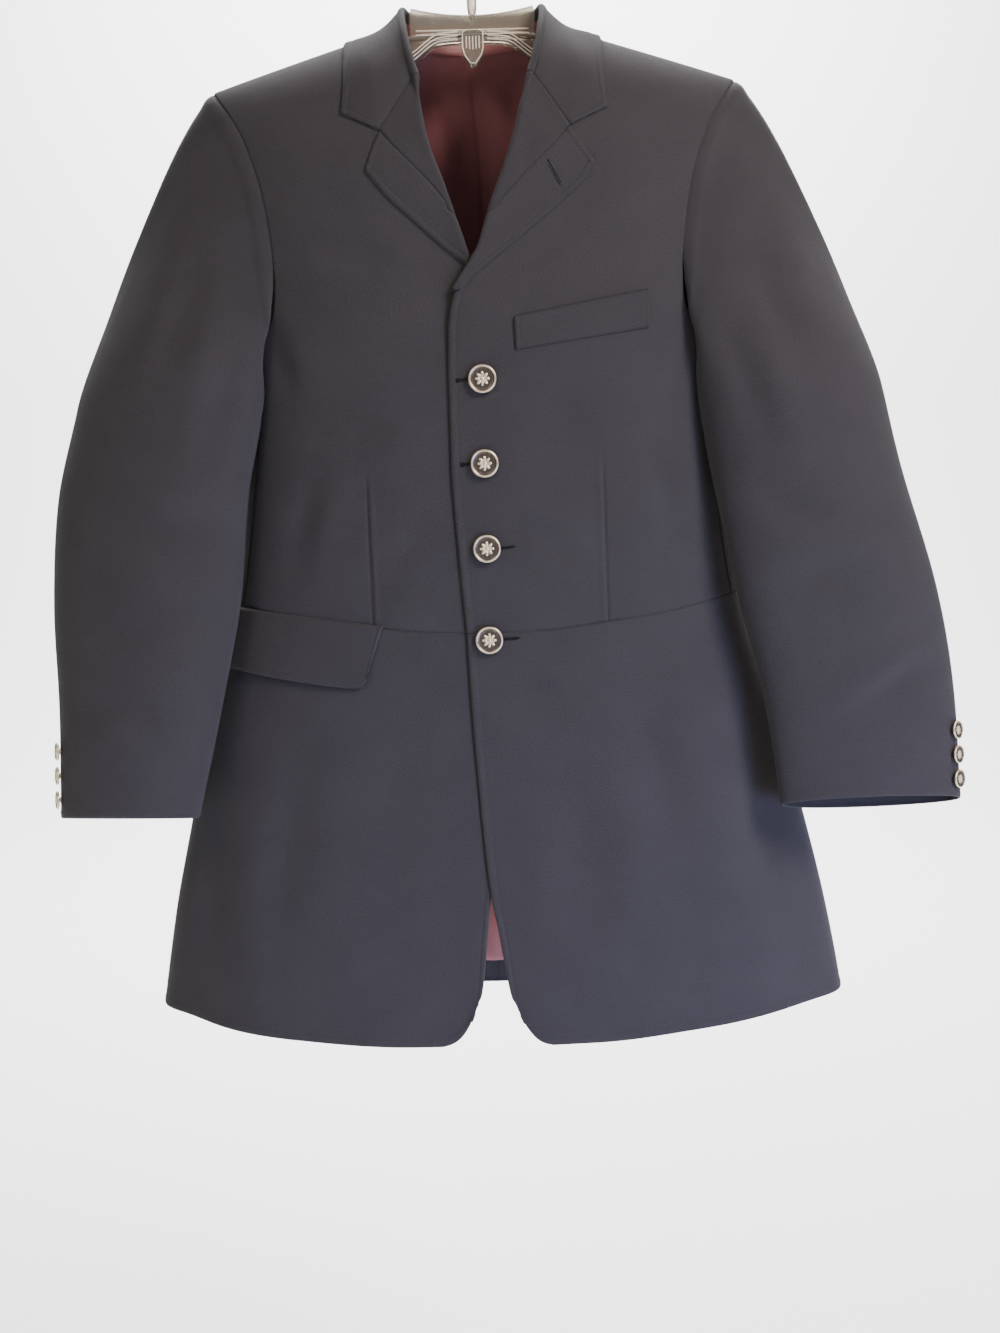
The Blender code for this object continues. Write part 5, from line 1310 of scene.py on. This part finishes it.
def line_beside(name, edge, distance, start=0.0, end=1.0):
    """Line on the face of a piece at a distance from one of its edges."""
    piece = sewn[name]
    along_rows = edge in ("inner", "outer")
    run = piece["across"] if along_rows else piece["up"].T
    grid = piece["face"] if along_rows else piece["face"].transpose(1, 0, 2)
    points = []
    for lengths, row in zip(run, grid):
        at = distance if edge in ("inner", "foot") else lengths[-1] - distance
        points.append([np.interp(at, lengths, row[:, k]) for k in range(3)])
    count = len(points)
    return np.array(points)[int(start * count):max(int(end * count), 2)]


def plain_mesh(name, guide):
    """Mesh of what a guide shows with its modifiers; the guide itself goes."""
    deps = bpy.context.evaluated_depsgraph_get()
    mesh = bpy.data.meshes.new_from_object(guide.evaluated_get(deps))
    bpy.data.objects.remove(guide, do_unlink=True)
    mesh.name = name
    return mesh


def grown(name, guide_mesh, tree, values):
    guide = placed(name + " guide", guide_mesh)
    run = guide.modifiers.new(tree.name, "NODES")
    run.node_group = tree
    for item in tree.interface.items_tree:
        if item.name in values:
            run[item.identifier] = values[item.name]
    return plain_mesh(name, guide)


def stitch_run(name, lines, pitch, length, thread, mat):
    """Stitches along some lines of points, as one plain mesh."""
    points, edges = [], []
    for line in lines:
        base = len(points)
        points += [tuple(p * MM) for p in line]
        edges += [(base + k, base + k + 1) for k in range(len(line) - 1)]
    mesh = bpy.data.meshes.new(name + " line")
    mesh.from_pydata(points, edges, [])
    values = {"Pitch": pitch, "Length": length, "Thread": thread, "Silk": mat}
    fixed(placed(name, grown(name, mesh, stitches, values)))


# piece, edge, distance in from it and, where it isn't whole, the part of it that is stitched
EDGE_STITCHES = (
    ("front_left", "inner", 6.0, 0.0, 0.52), ("skirt_left_cloth", "inner", 6.0),
    ("skirt_right_cloth", "inner", 6.0),
    ("lapel_outer_left", "outer", 5.0), ("lapel_outer_left", "head", 5.0, 0.2, 1.0),
    ("lapel_outer_right", "outer", 5.0), ("lapel_outer_right", "head", 5.0, 0.2, 1.0),
    ("collar_cloth", "foot", 5.0), ("welt_cloth", "head", 3.6), ("welt_cloth", "inner", 3.6),
    ("welt_cloth", "outer", 3.6), ("flap_cloth", "foot", 3.6), ("flap_cloth", "outer", 3.6),
)
HEMS = ("skirt_left_cloth", "skirt_right_cloth", "back_left_cloth", "back_right_cloth")
stitch_run("edge_stitches", [line_beside(*row) for row in EDGE_STITCHES], 0.0034, 0.0019, 0.00042, silk)
stitch_run("hem_stitches", [line_beside(name, "foot", 9.0) for name in HEMS], 0.0052, 0.0012, 0.00055, silk)


# Buttonholes: cut through the left front opposite each button, worked in black twist over
# a gimp, with a round eye at the end towards the edge. The lapel has a straight one that
# was never cut. The dark of every slit and eye, the lapel's too, is painted shade: black beads laid along it.

def worked_hole(name, start, end, raised, eye, twist):
    """Slit between two points of x and z, with stitches worked round it and black beads laid in it as painted
    shade.
    """
    start, end = np.array(start), np.array(end)
    run = end - start
    length = np.linalg.norm(run)
    run = run / length
    off = np.array((-run[1], run[0]))
    loop = []
    for t in np.linspace(0.0, 1.0, 14):
        loop.append(start + run * length * t + off * 0.75)
    for a in np.linspace(math.pi / 2, -math.pi / 2, 7)[1:-1]:
        loop.append(end + run * 0.75 * math.cos(a) + off * 0.75 * math.sin(a))
    for t in np.linspace(1.0, 0.0, 14):
        loop.append(start + run * length * t - off * 0.75)
    if eye:
        for a in np.linspace(-0.25 * math.pi, -1.75 * math.pi, 12):
            loop.append(start - run * 1.1 + 1.5 * (run * math.cos(a) + off * math.sin(a)))
    loop.append(loop[0])
    line = laid_on_front(np.array(loop), np.full(len(loop), raised), 1)
    stitch_run(name, [line], 0.00055, 0.0009, 0.00085, twist)
    # Black beads along the slit and round the eye: painted shade of the opening.
    painted_slit_shade = [start - run * (2.0 if eye else 1.6), start, start + run * length * 0.5, end]
    path = laid_on_front(np.array(painted_slit_shade), np.full(len(painted_slit_shade), raised - 0.1), 1)
    stitch_run(name + "_slit", [path], 0.0004, 0.0014, 0.0021 if eye else 0.0012, black_twist_and_slit_shade)


for number, (z, left_end) in enumerate(((-388.0, -17.0), (-454.0, -15.5)), start=1):
    worked_hole("buttonhole_%d" % number, (left_end, z - 0.6), (-8.0, z), 0.35, True, black_twist_and_slit_shade)
for number, (z, far) in enumerate(((-521.5, 22.0), (-595.0, 24.0)), start=3):
    worked_hole("buttonhole_%d" % number, (far, z + 0.8), (11.0, z), 0.35, False, black_twist_and_slit_shade)
worked_hole("lapel_buttonhole", (57.2, -223.0), (66.2, -239.0), EDGE_LIFT + 1.3, False, silk)


# Buttons: cast metal shanks with a pale silver wash, four on the front and three small
# ones on each cuff. Each has a raised rim, a ring of beads inside it and a plain rosette
# on a slightly domed, finely grained face, and hangs on a few turns of thread, made in the same silver.

def plated_metal(dark, light):
    def inputs(tree):
        worn = grained(tree, {"Scale": 1500.0, "Detail": 4.0, "Smoothest": 0.26, "Roughest": 0.50})
        return {"Base Color": two_tones(tree, worn["Grain"], dark, light), "Roughness": worn["Roughness"],
                "Normal": fine_bump(tree, worn["Grain"], 0.35, 0.0001), "Metallic": 1.0}
    return inputs


silver = surface("pale silver wash", plated_metal((0.64, 0.49, 0.33), (1.0, 0.84, 0.62)))
aged = surface("aged ground", plated_metal((0.07, 0.055, 0.045), (0.22, 0.18, 0.14)))


def beads_tree():
    """Ring of small beads for the rim of a button."""
    tree, given = new_group(
        "beaded ring", "GeometryNodeTree",
        (("Radius", "Float", 0.008), ("Bead", "Float", 0.0008), ("Count", "Int", 28),
         ("Metal", "Material", None)), (("Geometry", "Geometry"),))
    ring = added(tree, "GeometryNodeMeshCircle", {"Radius": given["Radius"], "Vertices": given["Count"]})
    bead = added(tree, "GeometryNodeMeshIcoSphere", {"Radius": given["Bead"], "Subdivisions": 2})
    place = added(tree, "GeometryNodeInstanceOnPoints", {"Points": ring.outputs[0],
                                                         "Instance": bead.outputs["Mesh"]})
    realise(tree, place, given["Metal"])
    return tree


beaded_ring = beads_tree()


def button_face(radius, thick, segments):
    """Turned button with its rosette, lying on the ground plane, in mm, and the height its ring of beads sits
    at.
    """
    r, foot = radius, 1.6
    profile = ((0.0, 0.0), (r * 0.2, 0.0), (r * 0.2, foot - 0.3), (r * 0.8, foot - 0.1),
               (r * 0.93, foot + 0.15),
               (r * 0.99, foot + 0.6), (r, foot + thick * 0.45), (r * 0.985, foot + thick * 0.75),
               (r * 0.95, foot + thick * 0.95), (r * 0.90, foot + thick), (r * 0.85, foot + thick * 0.94),
               (r * 0.815, foot + thick * 0.75), (r * 0.79, foot + thick * 0.66),
               (r * 0.6, foot + thick * 0.70),
               (r * 0.3, foot + thick * 0.78), (0.0, foot + thick * 0.8))
    bm = bmesh.new()
    rings = []
    for ring_radius, height in profile:
        if ring_radius == 0.0:
            rings.append([bm.verts.new((0.0, 0.0, height))])
        else:
            rings.append([bm.verts.new((ring_radius * math.cos(2 * math.pi * k / segments),
                                        ring_radius * math.sin(2 * math.pi * k / segments), height))
                          for k in range(segments)])
    for a, b in zip(rings[:-1], rings[1:]):
        for k in range(segments):
            n = (k + 1) % segments
            if len(a) == 1:
                bm.faces.new((a[0], b[n], b[k]))
            elif len(b) == 1:
                bm.faces.new((a[k], a[n], b[0]))
            else:
                bm.faces.new((a[k], a[n], b[n], b[k]))
    for f in bm.faces:
        centre = f.calc_center_median()
        f.material_index = int(centre.z > foot and 0.42 * r < math.hypot(centre.x, centre.y) < 0.84 * r)
    top = foot + thick * 0.76
    for petal in range(8):
        turn = 2 * math.pi * petal / 8
        made = bmesh.ops.create_uvsphere(bm, u_segments=10, v_segments=6, radius=1.0)["verts"]
        for v in made:
            px, py, pz = v.co.x * r * 0.19 + r * 0.34, v.co.y * r * 0.105, v.co.z * thick * 0.17
            v.co = Vector((px * math.cos(turn) - py * math.sin(turn),
                           px * math.sin(turn) + py * math.cos(turn), top + pz))
    made = bmesh.ops.create_uvsphere(bm, u_segments=16, v_segments=8, radius=1.0)["verts"]
    for v in made:
        v.co = Vector((v.co.x * r * 0.15, v.co.y * r * 0.15, top + v.co.z * thick * 0.26))
    for k in range(3):
        made = bmesh.ops.create_uvsphere(bm, u_segments=12, v_segments=6, radius=1.0)["verts"]
        for v in made:
            v.co = Vector((v.co.x * r * 0.3, v.co.y * r * 0.09 + (k - 1) * r * 0.12, 0.1 + v.co.z * 0.7))
    bmesh.ops.recalc_face_normals(bm, faces=bm.faces)
    return bm, foot + thick * 0.70


def button(name, radius, thick, place, normal, beads):
    bm, bead_height = button_face(radius, thick, 56)
    mesh = bpy.data.meshes.new(name + "_face")
    bm.to_mesh(mesh)
    bm.free()
    values = {"Radius": radius * 0.70, "Bead": radius * 0.045, "Count": beads, "Metal": silver}
    bead_mesh = grown(name + " ring", bpy.data.meshes.new(name + " ring"), beaded_ring, values)
    bead_mesh.transform(Matrix.Translation((0.0, 0.0, bead_height)))
    bm = bmesh.new()
    bm.from_mesh(mesh)
    bm.from_mesh(bead_mesh)
    for f in bm.faces:
        f.smooth = True
    turn = Vector((0, 0, 1)).rotation_difference(Vector(normal)).to_matrix().to_4x4()
    seat = Matrix.Translation(Vector(np.array(place) + np.array(normal) * 0.35) * MM)
    bm.transform(seat @ turn @ Matrix.Scale(MM, 4))
    mesh.materials.clear()
    mesh.materials.append(silver)
    mesh.materials.append(aged)
    bm.to_mesh(mesh)
    bm.free()
    fixed(placed(name + "_face", mesh), name)


for number, z in enumerate((-388.0, -454.0, -521.5, -595.0), start=1):
    seat, _ = front_spot(1.0, z, 1)
    button("front_button_%d" % number, 11.2, 2.6, seat, (0.0, -1.0, 0.0), 30)

for side, word, table in SLEEVES:
    for number, drop in enumerate((0.835, 0.895, 0.955), start=1):
        turn, drop = np.array(20.0), np.array(drop)
        here = sleeve_ring(table, turn, drop)
        round_step = sleeve_ring(table, turn + 3.0, drop) - sleeve_ring(table, turn - 3.0, drop)
        normal = unit(np.cross(round_step, sleeve_ring(table, turn, drop + 0.02) - here))
        normal = -normal if normal[0] < 0 else normal
        flip = np.array((side, 1.0, 1.0))
        button("cuff_button_%s_%d" % (word, number), 7.6, 2.0, here * flip, normal * flip, 24)


# Hanger: one moulding in clear styrene, hazy, its pale cream tone a painted reflection of the window,
# with arms under the shoulders, a thin plate between them at the neck, ribs along its edges in a paler
# copy of the styrene as painted highlight, and a ribbed boss in the middle. A bent and plated wire hook
# stands in its neck.

# x, underside z, thickness front to back
HANGER_ARM = (
    (0.0, -111.0, 12.0),
    (27.0, -113.0, 12.0),
    (49.0, -127.0, 12.0),
    (90.0, -150.0, 13.0),
    (140.0, -166.0, 15.0),
    (180.0, -180.0, 17.0),
    (194.0, -185.0, 18.0),
)
HANGER_BEAM_TOP = -102.0
CLOTH = 2.0


# The cream, untransmitted part of the colour is painted light: a pale tone standing in for the window's
# reflection. The grained roughness is the plastic's real haze.
def clear_plastic(colour, clear):
    haze = {"Scale": 90.0, "Detail": 4.0, "Smoothest": 0.12, "Roughest": 0.34}
    return lambda tree: {"Base Color": (*colour, 1.0), "IOR": 1.5, "Transmission Weight": clear,
                         "Roughness": grained(tree, haze)["Roughness"]}


# Its cream diffuse part, 28 % of it, is a painted reflection of the window on the frosted plastic.
styrene = surface("clear styrene with painted window reflection", clear_plastic((0.42, 0.36, 0.28), 0.72))
# Paler, less clear copy of the styrene for the ribs: painted highlight of the plastic's bright edges.
styrene_painted_edge_highlight = surface("styrene with painted edge highlight", clear_plastic((0.95, 0.84, 0.68), 0.30))


def plastic_piece(name, bm, node=None):
    mesh = bpy.data.meshes.new(name)
    bmesh.ops.recalc_face_normals(bm, faces=bm.faces)
    bm.to_mesh(mesh)
    bm.free()
    mesh.materials.append(styrene)
    piece = placed(name, mesh)
    bevel = piece.modifiers.new("soft edges", "BEVEL")
    bevel.width = 0.0005
    bevel.segments = 2
    bevel.limit_method = "ANGLE"
    fixed(piece, node)


def loft_rings(rings):
    bm = bmesh.new()
    loops = [[bm.verts.new(Vector(p) * MM) for p in ring] for ring in rings]
    size = len(loops[0])
    for a, b in zip(loops[:-1], loops[1:]):
        for k in range(size):
            n = (k + 1) % size
            bm.faces.new((a[k], a[n], b[n], b[k]))
    bm.faces.new(loops[0])
    bm.faces.new(list(reversed(loops[-1])))
    return bm


def mirrored(half):
    return [(-a, b) for a, b in reversed(half)]


def arm_top(x):
    under_shoulder = float(shoulder_height(x)) - CLOTH - 0.5
    return min(HANGER_BEAM_TOP - max(abs(x) - 20.0, 0.0) * 0.10, under_shoulder)


arm_rings = []
arm_stations = (np.linspace(-194.0, -52.0, 48), np.linspace(-49.0, 49.0, 41), np.linspace(52.0, 194.0, 48))
for x in np.concatenate(arm_stations):
    under, wide = smooth(HANGER_ARM, abs(x))
    top, w = arm_top(x), wide / 2.0
    crown = w * w / 22.0
    web = w * 0.42
    half = [(w, under), (w, under + 2.2), (web, under + 3.4), (web, top - crown - 4.2),
            (w, top - crown - 3.0), (w, top - crown - 1.2), (w * 0.6, top - crown * 0.5)]
    arm_rings.append([(x, y, z) for y, z in [(-w, under)] + half + [(0.0, top)] + mirrored(half[1:])])
plastic_piece("hanger_arms", loft_rings(arm_rings), "hanger")


def flat_outline(points, deep):
    """Plate with an outline of x and z, centred on the hanger's plane."""
    return loft_rings([[(x, y, z) for x, z in points] for y in (-deep, deep)])


top_edge = [(x, -90.0 + 6.0 * (abs(x) / 49.0) ** 2) for x in np.linspace(49.6, 2.0, 14)]
half_outline = [(51.0, -106.0), (51.0, -96.0), (50.8, -87.0)] + top_edge
plastic_piece("hanger_plate", flat_outline(half_outline + mirrored(half_outline), 1.6))
boss_half = [(5.5, -103.5), (8.8, -105.0), (9.0, -117.0), (7.6, -122.5), (4.2, -127.0), (2.4, -129.5)]
boss_outline = boss_half + mirrored(boss_half)
plastic_piece("hanger_boss", flat_outline(boss_outline, 7.2))
socket = [[(r * math.cos(a), r * math.sin(a), z) for a in np.linspace(0.0, 2.0 * math.pi, 25)[:-1]]
          for z, r in ((-93.0, 2.2), (-88.0, 3.4), (-84.0, 4.0), (-72.0, 4.0), (-66.5, 3.6))]
plastic_piece("hanger_socket", loft_rings(socket))


def plastic_ribs(name, lines, radius, mat):
    """Raised ribs along lines of points, as one mesh."""
    curve = bpy.data.curves.new(name, "CURVE")
    curve.dimensions = "3D"
    curve.bevel_depth = radius * MM
    curve.bevel_resolution = 2
    curve.use_fill_caps = True
    for line in lines:
        run = curve.splines.new("POLY")
        run.points.add(len(line) - 1)
        for item, p in zip(run.points, line):
            item.co = (p[0] * MM, p[1] * MM, p[2] * MM, 1.0)
    mesh = plain_mesh(name, placed(name + " line", curve))
    mesh.materials.clear()
    mesh.materials.append(mat)
    for face in mesh.polygons:
        face.use_smooth = True
    fixed(placed(name, mesh))


ribs = [[(x, -1.9, -90.8 + 6.0 * (abs(x) / 49.0) ** 2) for x in np.linspace(-49.0, 49.0, 25)]]
ribs += [[(x, -6.3, z) for x in np.linspace(-46.0, 46.0, 9)] for z in (-103.2, -106.6)]
for offset in (1.2, 4.2, 7.2):
    for sign in (-1, 1):
        ribs.append([(sign * x, -6.3, value_at(HANGER_ARM, x) + offset)
                     for x in np.linspace(12.0, 62.0, 18)])
ribs += [[(x, -7.5, -108.5), (x, -7.5, -119.0 + abs(x) * 0.2)] for x in (-5.2, -2.6, 0.0, 2.6, 5.2)]
ribs.append([(x * 0.93, -7.3, z) for x, z in boss_outline])
# The ribs carry the painted edge highlight.
plastic_ribs("hanger_ribs", ribs, 0.6, styrene_painted_edge_highlight)


def plated_wire(tree):
    drawn = grained(tree, {"Scale": 260.0, "Detail": 3.0, "Smoothest": 0.16, "Roughest": 0.36})
    return {"Base Color": (0.66, 0.66, 0.67, 1.0), "Metallic": 1.0, "Roughness": drawn["Roughness"]}


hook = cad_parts["hanger_hook"]
hook.data.materials.clear()
hook.data.materials.append(surface("plated wire", plated_wire))
